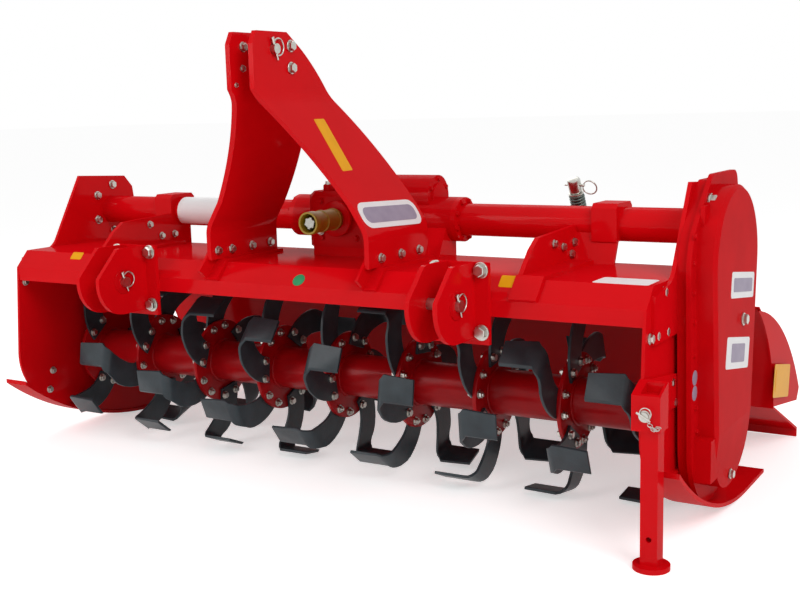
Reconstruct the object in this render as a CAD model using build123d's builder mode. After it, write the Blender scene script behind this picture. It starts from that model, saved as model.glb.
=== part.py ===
# Rotary tiller for a tractor's three-point hitch.
# X runs along the rotor and +X is the gear case end, -Y is the tractor side, +Z is up.
# The ground is z = 0 and the rotor's axis lies over y = 0. All sizes are millimetres.
import os
from math import asin, atan2, cos, degrees, hypot, radians, sin, sqrt, tan

from build123d import *

os.makedirs("parts", exist_ok=True)

# Rotor
axle_height = 262.0
axle_radius = 25.0
flange_count = 9
flange_pitch = 240.0
flange_radius = 127.0
flange_thickness = 12.0
rotor_tube_radius = 62.0
rotor_end_gap = 6.0
rotor_sides = 20
small_sides = 16
blades_per_flange = 6
blade_reach = 252.0
blade_root_radius = 84.0
blade_thickness = 8.0
blade_width = 62.0
blade_foot_length = 110.0
blade_foot_taper = 22.0
blade_bend_radius = 22.0
blade_sweep_angle = 36.0
blade_edge_steps = 3
blade_bend_steps = 2
blade_helix_angle = 15.0
first_blade_angle = 96.0

# Frame
left_end_gap = 35.0
right_end_gap = 52.0
side_plate_thickness = 8.0
deck_top = 622.0
deck_thickness = 6.0
deck_flat_rear = 25.0
beam_front = -330.0
beam_rear = -200.0
beam_bottom = 534.0
beam_lip_top = 574.0
beam_bevel_rear = -285.0
side_nose_y = -351.0
side_nose_z = 316.0
side_nose_bulge = 12.0
side_rear_y = 296.0
side_rear_top = 430.0
side_rear_low = 165.0
side_bottom = 105.0
side_seat_front = -322.0
side_corner_cut = 60.0

# Rear hinge
hinge_y = 300.0
hinge_z = 505.0
hinge_pin_radius = 9.0
hinge_fit = 0.3
hinge_lug_count = 4
hinge_lug_inset = 72.0
hinge_lug_thickness = 10.0
hinge_lug_radius = 20.0
hinge_lug_gap = 6.0
hood_lip_setback = 22.0
hood_lip_rise = 12.0
lug_root_sink = 4.0

# Ears over the hood's ends, which carry the cross tubes
ear_thickness = 10.0
ear_bottom = 490.0
ear_front = -300.0
ear_rear = 215.0
ear_top = 838.0
ear_fillet = 60.0
ear_front_drop = 22.0
ear_corner_y = -174.0
ear_corner_drop = 2.0
ear_shoulders = (
    # y behind the tube's axis, drop below the ear's top
    (-135.0, 0.0),
    (67.0, 12.0),
    (102.0, 50.0),
)

# Cross tubes
tube_radius = 44.5
tube_y = 90.0
tube_z = 718.0
tube_flange_radius = 62.0
tube_flange_thickness = 16.0

# Gearbox
hitch_center_x = 31.0
gearbox_left = -84.0
gearbox_right = 146.0
gearbox_front = -70.0
gearbox_rear = 200.0
gearbox_bottom = 646.0
gearbox_top = 802.0
gearbox_corner = 26.0
gearbox_left_end = -200.0
gearbox_right_end = 332.0
change_housing_radius = 60.0
change_housing_y = 100.0
change_housing_z = 780.0
change_housing_end = 258.0
pedestal_left = 205.0
pedestal_right = 318.0
pedestal_front_low = 100.0
pedestal_front_high = 48.0
pto_z = 728.0
pto_shaft_radius = 17.4
pto_boss_radius = 44.0
pto_boss_length = 12.0
pto_guard_radius = 28.5
pto_guard_wall = 3.0
pto_guard_length = 136.0
pto_shaft_setback = 8.0

# Mast
mast_plate_thickness = 14.0
mast_top_gap = 58.0
mast_foot_gap = 500.0
mast_top = 1226.0
mast_head_height = 165.0
mast_leg_height = 86.0
mast_bend_radius = 70.0
mast_nose_y = -477.0
mast_crown_rear = -336.0
mast_shoulder_y = -275.0
mast_shoulder_drop = 42.0
mast_foot_front = -328.0
mast_foot_rear = -30.0
mast_front_rise = 72.0
mast_rear_rise = 52.0
mast_rear_bulge_y = 46.5
mast_rear_bulge_z = 38.0
mast_front_hollow_y = 13.5
mast_front_hollow_z = 60.5
mast_nose_cut_y = 17.0
mast_nose_cut_z = 31.0
mast_nose_rise = 24.0
top_link_y = -395.0
top_link_drop = 43.0
top_link_pin_radius = 12.7
rail_leg = 45.0
rail_foot = 43.0
rail_thickness = 8.0

# Lower hitch
hitch_half_spacing = 526.0
hitch_pin_y = -433.0
hitch_pin_z = 574.0
hitch_pin_radius = 14.2
hitch_pin_fit = 0.4
hitch_pin_overhang = 14.0
hitch_cheek_radius = 92.0
hitch_cheek_thickness = 12.0
hitch_cheek_gap = 62.0
hitch_cheek_cut = (
    # corners of the cut at the cheek's upper front, in cheek radii: across, up
    (-0.98, 0.2),
    (-0.1, 1.05),
    (-1.1, 1.1),
)
clamp_thickness = 12.0
clamp_low = 466.0
clamp_high = 664.0
clamp_half_width = 80.0

# Brackets between the cross tubes and the beam
bracket_cheek_x = 690.0
bracket_cheek_thickness = 12.0
bracket_foot_width = 66.0
bracket_foot_thickness = 9.0
strap_width = 68.0
strap_wall = 12.0
strap_front_drop = 41.0
right_strap_offset = 54.0
left_strap_offset = -64.0
bracket_cheek_rear = 30.0
bracket_rear_sink = 13.0
bracket_below_tube = 20.0
bracket_cross_thickness = 12.0
bracket_front_points = (
    # y, z
    (-183.0, 708.0),
    (-224.0, 683.0),
    (-264.0, 644.0),
)

# Gear case
case_wall_depth = 26.0
case_rim_depth = 12.0
case_rim = 14.0
case_cover_depth = 48.0
case_cover_top_radius = 186.0
case_cover_low_radius = 148.0
case_middle_y = 58.0
case_cover_low_z = 217.0
case_slope_top = 235.0
case_slope_depth = 22.0
case_edge_bevel = 9.0
case_boss_depth = 42.0
case_boss_width = 76.0
case_boss_y = -90.0
case_boss_low = 128.0
case_boss_high = 232.0
bearing_radius = 62.0
bearing_plate_size = 176.0
bearing_plate_thickness = 12.0
bearing_length = 38.0
axle_fit = 0.3
axle_hole_gap = 5.0
axle_end_gap = 3.0

# Skids
skid_arc_radius = 905.0
skid_flat_front = 230.0
skid_rear = 413.0
skid_tip_y = -338.0
skid_overhang = 82.0
skid_thickness = 10.0
skid_web_thickness = 8.0
skid_web_gap = 24.0
skid_web_front = -240.0
skid_web_rear = 285.0
skid_web_toe = 40.0
skid_web_step = 100.0
skid_web_rise = 45.0

# Parking stand
stand_offset = 33.0
stand_y = -380.0
stand_leg_size = 40.0
stand_leg_top = 398.0
slide_gap = 0.4
sleeve_wall = 6.0
sleeve_left_wall = 19.0
sleeve_low = 320.0
sleeve_front_top = 401.0
sleeve_rear_top = 424.0
stand_web_rear = -130.0
stand_web_thickness = 8.0
stand_web_step = 10.0
foot_radius = 42.0
foot_thickness = 12.0

# Rear board
board_overhang = 84.0
board_thickness = 6.0
board_top_offset = 16.0
board_top_drop = 21.0
board_arc_radius = 420.0
board_knee_y = 500.0
board_knee_z = 168.0
board_rear_y = 802.0
board_rear_z = 32.0
board_lip_low = 3.0
wing_tip_y = 813.0
wing_tip_z = 155.0
wing_notch_y = 787.0
wing_notch_z = 121.0
wing_top_drop = 10.0
wing_arc_radius = 760.0

# Adjusters of the rear board
adjuster_x = 600.0
adjuster_rod_size = 26.0
adjuster_eye_radius = 22.0
adjuster_eye_width = 24.0
adjuster_eye_gap = 1.0
adjuster_lug_thickness = 10.0
adjuster_lug_reach = 44.0
adjuster_lug_toe = 26.0
adjuster_lug_drop = 55.0
adjuster_pin_radius = 9.0
adjuster_foot_y = 483.0
adjuster_foot_z = 370.0
guide_y = 319.0
guide_z = 700.0
guide_thickness = 10.0
guide_length = 76.0
guide_gap = 5.0
guide_cheek_gap = 60.0
guide_cheek_thickness = 8.0
guide_root_y = 150.0
guide_root_sink = 30.0
spring_radius = 23.0
spring_length = 88.0
adjuster_cap_radius = 19.0
adjuster_cap_length = 42.0

# Places along the rotor that follow from the flanges
flange_xs = [(i - (flange_count - 1) / 2) * flange_pitch for i in range(flange_count)]
frame_left = flange_xs[0] - left_end_gap
frame_right = flange_xs[-1] + right_end_gap
case_back = frame_right + side_plate_thickness + ear_thickness


def layer(side, inner, outer):
    """The x range of a layer that lies between two distances outside the frame's inner face."""
    face = frame_right if side > 0 else frame_left
    return sorted((face + side * inner, face + side * outer))


def extrude_profile(points, x_from, x_to, mode=Mode.ADD):
    """Extrude a closed outline of (y, z) points from one x to another."""
    with BuildSketch(Plane.YZ.offset(x_from)) as outline:
        with BuildLine():
            Polyline(*points, close=True)
        make_face()
    extrude(outline.sketch, amount=x_to - x_from, mode=mode)


def bar_x(radius, y, z, x_from, x_to, mode=Mode.ADD):
    """A round bar or bore along X."""
    with BuildSketch(Plane.YZ.offset(x_from)) as outline:
        with Locations((y, z)):
            Circle(radius)
    extrude(outline.sketch, amount=x_to - x_from, mode=mode)


def bore_x(radius, y, z, x_from, x_to):
    """A bore along X with a few flat sides, which lie at this radius from its axis."""
    with BuildSketch(Plane.YZ.offset(x_from)) as outline:
        with Locations((y, z)):
            RegularPolygon(radius, small_sides, major_radius=False)
    extrude(outline.sketch, amount=x_to - x_from, mode=Mode.SUBTRACT)


def prism_x(radius, y, z, x_from, x_to):
    """A small bar along X with a few flat sides, whose corners lie at this radius."""
    with BuildSketch(Plane.YZ.offset(x_from)) as outline:
        with Locations((y, z)):
            RegularPolygon(radius, small_sides)
    extrude(outline.sketch, amount=x_to - x_from)


def rotor_disc(radius, x_from, x_to):
    """A disc or drum on the rotor's axis with many flat sides."""
    with BuildSketch(Plane.YZ.offset(x_from)) as outline:
        with Locations((0, axle_height)):
            RegularPolygon(radius, rotor_sides)
    extrude(outline.sketch, amount=x_to - x_from)


def hull_of_circles(circles, grow, x_from, x_to):
    """Extrude the outline that a belt round some (y, z, radius) circles would take."""
    with BuildSketch(Plane.YZ.offset(x_from)) as outline:
        for y, z, radius in circles:
            with Locations((y, z)):
                Circle(radius + grow)
        make_hull()
    extrude(outline.sketch, amount=x_to - x_from)


def save(builder, name):
    """Label a finished piece and write its file."""
    builder.part.label = name
    export_step(builder.part, f"parts/{name}.step")


# Front beam: a closed box with a bevelled upper front corner
beam_profile = (
    (beam_front, beam_bottom),
    (beam_front, beam_lip_top),
    (beam_bevel_rear, deck_top),
    (beam_rear, deck_top),
    (beam_rear, beam_bottom),
)
with BuildPart() as front_beam:
    extrude_profile(beam_profile, frame_left, frame_right)
save(front_beam, "front_beam")

# Lugs of the rear hinge, evenly spread over the frame's width
hinge_span = frame_right - frame_left - 2 * hinge_lug_inset
hinge_lug_xs = [frame_left + hinge_lug_inset + i * hinge_span / (hinge_lug_count - 1)
                for i in range(hinge_lug_count)]


def hinge_lug(x, root_high, root_low):
    """A lug plate around the hinge rod, rooted between two (y, z) points."""
    nose_y = hinge_y + (hinge_lug_radius if root_high[0] < hinge_y else -hinge_lug_radius)
    with BuildSketch(Plane.YZ.offset(x)) as outline:
        with BuildLine():
            Polyline(root_high, (hinge_y, hinge_z + hinge_lug_radius),
                     (nose_y, hinge_z + hinge_lug_radius / 2), (nose_y, hinge_z - hinge_lug_radius / 2),
                     (hinge_y, hinge_z - hinge_lug_radius),
                     root_low, close=True)
        make_face()
        with Locations((hinge_y, hinge_z)):
            RegularPolygon(hinge_pin_radius + hinge_fit, small_sides, major_radius=False, mode=Mode.SUBTRACT)
    extrude(outline.sketch, amount=hinge_lug_thickness)


# Rotor hood: the deck plate, which curves down at the rear to the hinge of the rear board
hood_rear_y = hinge_y - hood_lip_setback
hood_rear_z = hinge_z + hood_lip_rise
hood_run = hood_rear_y - deck_flat_rear
hood_drop = deck_top - hood_rear_z
hood_arc_radius = (hood_run ** 2 + hood_drop ** 2) / (2 * hood_drop)
hood_inner_share = 1 - deck_thickness / hood_arc_radius
hood_inner_y = deck_flat_rear + hood_run * hood_inner_share
hood_inner_z = deck_top - hood_arc_radius + (hood_rear_z - deck_top + hood_arc_radius) * hood_inner_share
with BuildPart() as rotor_hood:
    with BuildSketch(Plane.YZ.offset(frame_left)):
        with BuildLine():
            Line((beam_rear, deck_top), (deck_flat_rear, deck_top))
            TangentArc((deck_flat_rear, deck_top), (hood_rear_y, hood_rear_z), tangent=(1, 0))
            Line((hood_rear_y, hood_rear_z), (hood_inner_y, hood_inner_z))
            TangentArc((deck_flat_rear, deck_top - deck_thickness), (hood_inner_y, hood_inner_z),
                       tangent=(1, 0))
            Line((deck_flat_rear, deck_top - deck_thickness), (beam_rear, deck_top - deck_thickness))
            Line((beam_rear, deck_top - deck_thickness), (beam_rear, deck_top))
        make_face()
    extrude(amount=frame_right - frame_left)
    for x in hinge_lug_xs:
        hinge_lug(x, (hood_rear_y - lug_root_sink, hood_rear_z),
                  (hood_rear_y - lug_root_sink, hood_rear_z - hinge_lug_radius))
save(rotor_hood, "rotor_hood")

# Hinge rod of the rear board
with BuildPart() as hinge_rod:
    bar_x(hinge_pin_radius, hinge_y, hinge_z,
          hinge_lug_xs[0] - hinge_lug_thickness, hinge_lug_xs[-1] + 4 * hinge_lug_thickness)
save(hinge_rod, "hinge_rod")


def skid_z(y, height):
    """Height over the ground, at y, of a line that runs this far above the skid's sole."""
    if y >= skid_flat_front:
        return height
    return skid_arc_radius - sqrt((skid_arc_radius - height) ** 2 - (skid_flat_front - y) ** 2)


def skid_arc(y_from, y_to, height):
    """An arc along the skid between two y places, this far above its sole."""
    middle = (y_from + y_to) / 2
    ThreePointArc((y_from, skid_z(y_from, height)), (middle, skid_z(middle, height)),
                  (y_to, skid_z(y_to, height)))


# Side plates, whose rounded lower front edge sits on the skid
side_seat_rear = skid_flat_front - sqrt(
    (skid_arc_radius - skid_thickness) ** 2 - (skid_arc_radius - side_bottom) ** 2)
seat_z = skid_z(side_seat_front, skid_thickness)
nose_middle_y = (side_nose_y + side_seat_front) / 2
nose_middle_z = (side_nose_z + seat_z) / 2
for side, name in ((-1, "side_plate_left"), (1, "side_plate_right")):
    x_from, x_to = layer(side, 0, side_plate_thickness)
    with BuildPart() as side_plate:
        with BuildSketch(Plane.YZ.offset(x_from)):
            with BuildLine():
                Polyline((hood_rear_y, hood_rear_z), (side_rear_y, side_rear_top),
                         (side_rear_y, side_rear_low), (side_rear_y - side_corner_cut, side_bottom),
                         (side_seat_rear, side_bottom))
                skid_arc(side_seat_rear, side_seat_front, skid_thickness)
                ThreePointArc((side_seat_front, seat_z),
                              (nose_middle_y - side_nose_bulge * 0.8, nose_middle_z - side_nose_bulge * 0.5),
                              (side_nose_y, side_nose_z))
                Polyline((side_nose_y, side_nose_z), (beam_front, beam_lip_top),
                         (beam_bevel_rear, deck_top), (deck_flat_rear, deck_top))
                TangentArc((deck_flat_rear, deck_top), (hood_rear_y, hood_rear_z), tangent=(1, 0))
            make_face()
        extrude(amount=x_to - x_from)
        bore_x(axle_radius + axle_hole_gap, 0, axle_height, x_from, x_to)
    save(side_plate, name)

# Ears: end plates that stand over the hood and carry the cross tubes
ear_corner = (ear_corner_y, deck_top - ear_corner_drop)
for side, name in ((-1, "tube_end_plate_left"), (1, "tube_end_plate_right")):
    x_from, x_to = layer(side, side_plate_thickness, side_plate_thickness + ear_thickness)
    with BuildPart() as end_plate:
        with BuildSketch(Plane.YZ.offset(x_from)):
            with BuildLine():
                Polyline((ear_front, ear_bottom), (ear_front, deck_top - ear_front_drop), ear_corner,
                         *((tube_y + behind, ear_top - drop) for behind, drop in ear_shoulders),
                         (ear_rear, deck_top), (ear_rear, ear_bottom), close=True)
            make_face()
        extrude(amount=x_to - x_from)
        concave_edge = end_plate.edges().filter_by(Axis.X).sort_by_distance(
            ((x_from + x_to) / 2, *ear_corner))[0]
        fillet(concave_edge, radius=ear_fillet)
    save(end_plate, name)

# Cross tubes, each with a bolting flange at the gearbox
tube_ends = (
    # name, gearbox end, frame end
    ("cross_tube_left", gearbox_left_end, frame_left - side_plate_thickness),
    ("cross_tube_right", gearbox_right_end, frame_right + side_plate_thickness),
)
for name, near, far in tube_ends:
    side = 1 if far > near else -1
    with BuildPart() as cross_tube:
        bar_x(tube_radius, tube_y, tube_z, near, far)
        bar_x(tube_flange_radius, tube_y, tube_z, near, near + side * tube_flange_thickness)
    save(cross_tube, name)

# Gearbox: the bevel casting, a change-wheel housing beside it and a neck to each cross tube
gearbox_middle = ((gearbox_left + gearbox_right) / 2, (gearbox_front + gearbox_rear) / 2)
with BuildPart() as gearbox:
    with BuildSketch(Plane.XY.offset(gearbox_bottom)) as casting:
        with Locations(gearbox_middle):
            Rectangle(gearbox_right - gearbox_left, gearbox_rear - gearbox_front)
        chamfer(casting.vertices(), length=gearbox_corner)
    extrude(amount=gearbox_top - gearbox_bottom)
    chamfer(gearbox.faces().sort_by(Axis.Z)[-1].edges(), length=gearbox_corner / 2)
    bar_x(tube_flange_radius, tube_y, tube_z, gearbox_left_end, gearbox_right_end)
    bar_x(change_housing_radius, change_housing_y, change_housing_z,
          gearbox_right - 2 * gearbox_corner, change_housing_end)
    with BuildSketch(Plane.XZ.offset(-gearbox_front)):
        with Locations((hitch_center_x, pto_z)):
            Circle(pto_boss_radius)
    extrude(amount=pto_boss_length)
save(gearbox, "gearbox")

# Seat that carries the gearbox on the deck, and a pedestal under the right-hand neck
with BuildPart() as gearbox_seat:
    with BuildSketch(Plane.XY.offset(deck_top)):
        with Locations((gearbox_middle[0], (gearbox_front + deck_flat_rear) / 2)):
            Rectangle(gearbox_right - gearbox_left - 2 * gearbox_corner, deck_flat_rear - gearbox_front)
    extrude(amount=gearbox_bottom - deck_top)
    with BuildSketch(Plane.YZ.offset(pedestal_left)):
        with BuildLine():
            Polyline((tube_y - pedestal_front_low, deck_top), (tube_y - pedestal_front_high, tube_z),
                     (tube_y, tube_z), (tube_y, deck_top - 2 * deck_thickness), (deck_flat_rear, deck_top),
                     close=True)
        make_face()
    extrude(amount=pedestal_right - pedestal_left)
    bar_x(tube_flange_radius, tube_y, tube_z, pedestal_left, pedestal_right, Mode.SUBTRACT)
    bar_x(hood_arc_radius, deck_flat_rear, deck_top - hood_arc_radius, pedestal_left, pedestal_right,
          Mode.SUBTRACT)
save(gearbox_seat, "gearbox_seat")

# Input guard: a round sleeve, open at the front, with the input shaft inside
boss_face = -gearbox_front + pto_boss_length
with BuildPart() as pto_guard:
    with BuildSketch(Plane.XZ.offset(boss_face)):
        with Locations((hitch_center_x, pto_z)):
            Circle(pto_guard_radius)
            Circle(pto_guard_radius - pto_guard_wall, mode=Mode.SUBTRACT)
    extrude(amount=pto_guard_length)
save(pto_guard, "pto_guard")

with BuildPart() as pto_shaft:
    with BuildSketch(Plane.XZ.offset(boss_face + hinge_fit)):
        with Locations((hitch_center_x, pto_z)):
            Circle(pto_shaft_radius)
    extrude(amount=pto_guard_length - pto_shaft_setback - hinge_fit)
save(pto_shaft, "pto_shaft")

# Mast: two bent plates that lean together towards the top link
mast_bottom = deck_top + rail_thickness
mast_top_x = mast_top_gap / 2
mast_foot_x = mast_foot_gap / 2
mast_bend_top = mast_top - mast_head_height
mast_bend_low = mast_bottom + mast_leg_height
mast_lean = atan2(mast_foot_x - mast_top_x, mast_bend_top - mast_bend_low)
mitre = mast_plate_thickness * tan(mast_lean / 2)
top_link_z = mast_top - top_link_drop
shoulder_z = mast_top - mast_shoulder_drop
mast_rear_bulge = ((mast_foot_rear + mast_shoulder_y) / 2 + mast_rear_bulge_y,
                   (tube_z + shoulder_z) / 2 + mast_rear_bulge_z)
mast_front_hollow = ((mast_nose_y + mast_foot_front) / 2 + mast_front_hollow_y,
                     (mast_bend_top + tube_z) / 2 + mast_front_hollow_z)
for side, name in ((-1, "mast_plate_left"), (1, "mast_plate_right")):
    with BuildPart() as mast_plate:
        with BuildSketch(Plane.XZ.offset(-mast_nose_y)):
            with BuildLine():
                inner_line = FilletPolyline(
                    (hitch_center_x + side * mast_foot_x, mast_bottom),
                    (hitch_center_x + side * mast_foot_x, mast_bend_low),
                    (hitch_center_x + side * mast_top_x, mast_bend_top),
                    (hitch_center_x + side * mast_top_x, mast_top),
                    radius=mast_bend_radius)
                outer_line = FilletPolyline(
                    (hitch_center_x + side * (mast_foot_x + mast_plate_thickness), mast_bottom),
                    (hitch_center_x + side * (mast_foot_x + mast_plate_thickness), mast_bend_low + mitre),
                    (hitch_center_x + side * (mast_top_x + mast_plate_thickness), mast_bend_top + mitre),
                    (hitch_center_x + side * (mast_top_x + mast_plate_thickness), mast_top),
                    radius=mast_bend_radius)
                Line(inner_line @ 0, outer_line @ 0)
                Line(inner_line @ 1, outer_line @ 1)
            make_face()
        extrude(amount=mast_nose_y - mast_foot_rear)
        with BuildSketch(Plane.YZ.offset(hitch_center_x - mast_foot_gap)):
            with BuildLine():
                Polyline((mast_foot_front, tube_z + mast_front_rise), (mast_foot_front, mast_bottom),
                         (mast_foot_rear, mast_bottom), (mast_foot_rear, tube_z + mast_rear_rise))
                ThreePointArc((mast_foot_rear, tube_z + mast_rear_rise), mast_rear_bulge,
                              (mast_shoulder_y, shoulder_z))
                Polyline((mast_shoulder_y, shoulder_z), (mast_crown_rear, mast_top),
                         (mast_nose_y + mast_nose_cut_y, mast_top), (mast_nose_y, mast_top - mast_nose_cut_z),
                         (mast_nose_y, mast_bend_top + mast_nose_rise))
                ThreePointArc((mast_nose_y, mast_bend_top + mast_nose_rise), mast_front_hollow,
                              (mast_foot_front, tube_z + mast_front_rise))
            make_face()
        extrude(amount=2 * mast_foot_gap, mode=Mode.INTERSECT)
        bore_x(top_link_pin_radius + hitch_pin_fit, top_link_y, top_link_z,
               hitch_center_x - mast_foot_gap, hitch_center_x + mast_foot_gap)
    save(mast_plate, name)

# Angle rails that carry the mast's feet and follow the beam's bevel
bevel_run = beam_bevel_rear - beam_front
bevel_rise = deck_top - beam_lip_top
bevel_length = hypot(bevel_run, bevel_rise)


def along_bevel(height):
    """The (y, z) points of a line that runs this far above the deck and the bevel."""
    corner = height * tan((atan2(bevel_rise, bevel_run)) / 2)
    push_y = height * bevel_rise / bevel_length
    push_z = height * bevel_run / bevel_length
    return ((mast_foot_rear, deck_top + height), (beam_bevel_rear - corner, deck_top + height),
            (beam_front - push_y, beam_lip_top + push_z))


for side, name in ((-1, "mast_rail_left"), (1, "mast_rail_right")):
    plate_left = hitch_center_x + side * mast_foot_x - (mast_plate_thickness if side < 0 else 0)
    with BuildPart() as mast_rail:
        extrude_profile(along_bevel(0)[::-1] + along_bevel(rail_leg), plate_left - rail_thickness, plate_left)
        extrude_profile(along_bevel(0)[::-1] + along_bevel(rail_thickness),
                        plate_left - rail_thickness, plate_left - rail_thickness + rail_foot)
    save(mast_rail, name)

# Top link pin
top_link_reach = mast_top_x + mast_plate_thickness + hitch_pin_overhang
with BuildPart() as top_link_pin:
    bar_x(top_link_pin_radius, top_link_y, top_link_z,
          hitch_center_x - top_link_reach, hitch_center_x + top_link_reach)
save(top_link_pin, "top_link_pin")

# Lower hitch brackets: two rounded cheeks on a plate that clamps to the beam
clamp_face = beam_front - clamp_thickness
cheek_low = hitch_pin_z - hitch_cheek_radius
for side, name in ((-1, "hitch_bracket_left"), (1, "hitch_bracket_right")):
    center = hitch_center_x + side * hitch_half_spacing
    with BuildPart() as hitch_bracket:
        for cheek in (-1, 1):
            x_in = center + cheek * hitch_cheek_gap / 2
            x_out = x_in + cheek * hitch_cheek_thickness
            with BuildSketch(Plane.YZ.offset(min(x_in, x_out))) as cheek_outline:
                with Locations((hitch_pin_y, hitch_pin_z)):
                    Circle(hitch_cheek_radius)
                with BuildLine():
                    Polyline((hitch_pin_y, cheek_low), (clamp_face, cheek_low),
                             (clamp_face, clamp_high), (hitch_pin_y, hitch_pin_z + hitch_cheek_radius),
                             close=True)
                make_face()
                with BuildLine():
                    Polyline(*((hitch_pin_y + across * hitch_cheek_radius,
                                hitch_pin_z + up * hitch_cheek_radius)
                               for across, up in hitch_cheek_cut), close=True)
                make_face(mode=Mode.SUBTRACT)
            extrude(cheek_outline.sketch, amount=hitch_cheek_thickness)
        extrude_profile(((clamp_face, clamp_low), (clamp_face, clamp_high), (beam_front, clamp_high),
                         (beam_front, clamp_low)), center - clamp_half_width, center + clamp_half_width)
        bore_x(hitch_pin_radius + hitch_pin_fit, hitch_pin_y, hitch_pin_z,
               center - clamp_half_width, center + clamp_half_width)
    save(hitch_bracket, name)
    pin_reach = hitch_cheek_gap / 2 + hitch_cheek_thickness + hitch_pin_overhang
    with BuildPart() as hitch_pin:
        bar_x(hitch_pin_radius, hitch_pin_y, hitch_pin_z, center - pin_reach, center + pin_reach)
    save(hitch_pin, name.replace("bracket", "pin"))

# Brackets between the cross tubes and the beam: a cheek, a foot, a cross plate and a strap
strap_half = tube_radius + strap_wall
brackets = (
    # name, side of the frame, offset from the cheek to the strap's near end
    ("tube_bracket_left", -1, left_strap_offset),
    ("tube_bracket_right", 1, right_strap_offset),
)
for name, side, strap_offset in brackets:
    cheek_x = side * bracket_cheek_x
    strap_x = cheek_x + strap_offset
    with BuildPart() as tube_bracket:
        extrude_profile(((beam_bevel_rear, deck_top), (deck_flat_rear, deck_top),
                         (tube_y + bracket_cheek_rear, deck_top - bracket_rear_sink),
                         (tube_y + bracket_cheek_rear, tube_z - bracket_below_tube), (tube_y, tube_z),
                         *bracket_front_points),
                        cheek_x - bracket_cheek_thickness / 2, cheek_x + bracket_cheek_thickness / 2)
        foot_from = min(cheek_x, strap_x)
        extrude_profile(along_bevel(0)[:0:-1] + ((deck_flat_rear, deck_top),
                        (deck_flat_rear, deck_top + bracket_foot_thickness))
                        + along_bevel(bracket_foot_thickness)[1:],
                        cheek_x - bracket_cheek_thickness / 2, cheek_x + bracket_foot_width)
        cross_right = max(cheek_x, strap_x + strap_width)
        cross_top_y = tube_y - bracket_cheek_rear
        extrude_profile(((deck_flat_rear - bracket_cross_thickness, deck_top), (deck_flat_rear, deck_top),
                         (cross_top_y, tube_z - bracket_below_tube),
                         (cross_top_y - bracket_cross_thickness, tube_z - bracket_below_tube)),
                        foot_from, cross_right)
        with BuildSketch(Plane.YZ.offset(strap_x)) as saddle:
            with Locations((tube_y, tube_z + (strap_half - strap_front_drop) / 2)):
                Rectangle(2 * strap_half, strap_half + strap_front_drop)
            chamfer(saddle.vertices().group_by(Axis.Y)[-1], length=strap_wall)
        extrude(amount=strap_width)
        cut_from, cut_to = foot_from - strap_width, cross_right + strap_width
        bar_x(tube_radius, tube_y, tube_z, cut_from, cut_to, Mode.SUBTRACT)
        bar_x(hood_arc_radius, deck_flat_rear, deck_top - hood_arc_radius, cut_from, cut_to, Mode.SUBTRACT)
    save(tube_bracket, name)

# Gear case at the right end: a wall casting with a joint rim
case_circles = (
    # y, z, radius
    (25.0, 210.0, 156.0),
    (-20.0, 640.0, 132.0),
    (12.0, 820.0, 20.0),
    (178.0, 820.0, 20.0),
    (case_middle_y, 640.0, case_cover_top_radius),
)
case_rim_x = case_back + case_wall_depth
case_cover_x = case_rim_x + case_rim_depth
case_outside = case_cover_x + case_cover_depth
with BuildPart() as gear_case:
    hull_of_circles(case_circles, 0, case_back, case_rim_x)
    hull_of_circles(case_circles, case_rim, case_rim_x, case_cover_x)
    bore_x(axle_radius + axle_fit, 0, axle_height, case_back, case_rim_x)
save(gear_case, "gear_case")

# Cover of the gear case, which slopes inwards at its lower end, with a boss at the front
cover_circles = (
    # y, z, radius
    (case_middle_y, 640.0, case_cover_top_radius),
    (case_middle_y, case_cover_low_z, case_cover_low_radius),
)
with BuildPart() as gear_case_cover:
    hull_of_circles(cover_circles, 0, case_cover_x, case_outside)
    chamfer(gear_case_cover.faces().sort_by(Axis.X)[-1].edges(), length=case_edge_bevel)
    with BuildSketch(Plane.XZ.offset(-case_middle_y - case_cover_top_radius)):
        with BuildLine():
            Polyline((case_outside, case_slope_top), (case_outside + case_rim, case_slope_top),
                     (case_outside + case_rim, 0), (case_outside - case_slope_depth, 0), close=True)
        make_face()
    extrude(amount=2 * case_cover_top_radius, mode=Mode.SUBTRACT)
    with BuildSketch(Plane.XY.offset(case_boss_low)):
        with Locations((case_cover_x + case_boss_depth / 2, case_boss_y)):
            Rectangle(case_boss_depth, case_boss_width)
    extrude(amount=case_boss_high - case_boss_low)
save(gear_case_cover, "gear_case_cover")

# Bearing housings of the rotor's axle: a plate on each side plate, and a hub on the left one
with BuildPart() as rotor_bearing_right:
    with BuildSketch(Plane.YZ.offset(frame_right + side_plate_thickness)):
        with Locations((0, axle_height)):
            Rectangle(bearing_plate_size, bearing_plate_size)
            RegularPolygon(axle_radius + axle_fit, small_sides, major_radius=False, mode=Mode.SUBTRACT)
    extrude(amount=ear_thickness)
save(rotor_bearing_right, "rotor_bearing_right")

bearing_face = frame_left - side_plate_thickness
with BuildPart() as rotor_bearing_left:
    with BuildSketch(Plane.YZ.offset(bearing_face - bearing_plate_thickness)) as bearing_plate:
        with Locations((0, axle_height)):
            Rectangle(bearing_plate_size, bearing_plate_size)
        chamfer(bearing_plate.vertices(), length=bearing_plate_size / 5)
    extrude(amount=bearing_plate_thickness)
    bar_x(bearing_radius, 0, axle_height,
          bearing_face - bearing_length, bearing_face - bearing_plate_thickness)
    bore_x(axle_radius + axle_fit, 0, axle_height, bearing_face - bearing_length / 2, bearing_face)
save(rotor_bearing_left, "rotor_bearing_left")

# Rotor: tube, flanges and the axle's ends
with BuildPart() as rotor:
    rotor_disc(rotor_tube_radius, frame_left + rotor_end_gap, frame_right - rotor_end_gap)
    rotor_disc(axle_radius, bearing_face - bearing_length / 2 + axle_end_gap, case_rim_x - axle_end_gap)
    for x in flange_xs:
        rotor_disc(flange_radius, x - flange_thickness / 2, x + flange_thickness / 2)
save(rotor, "rotor")


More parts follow.
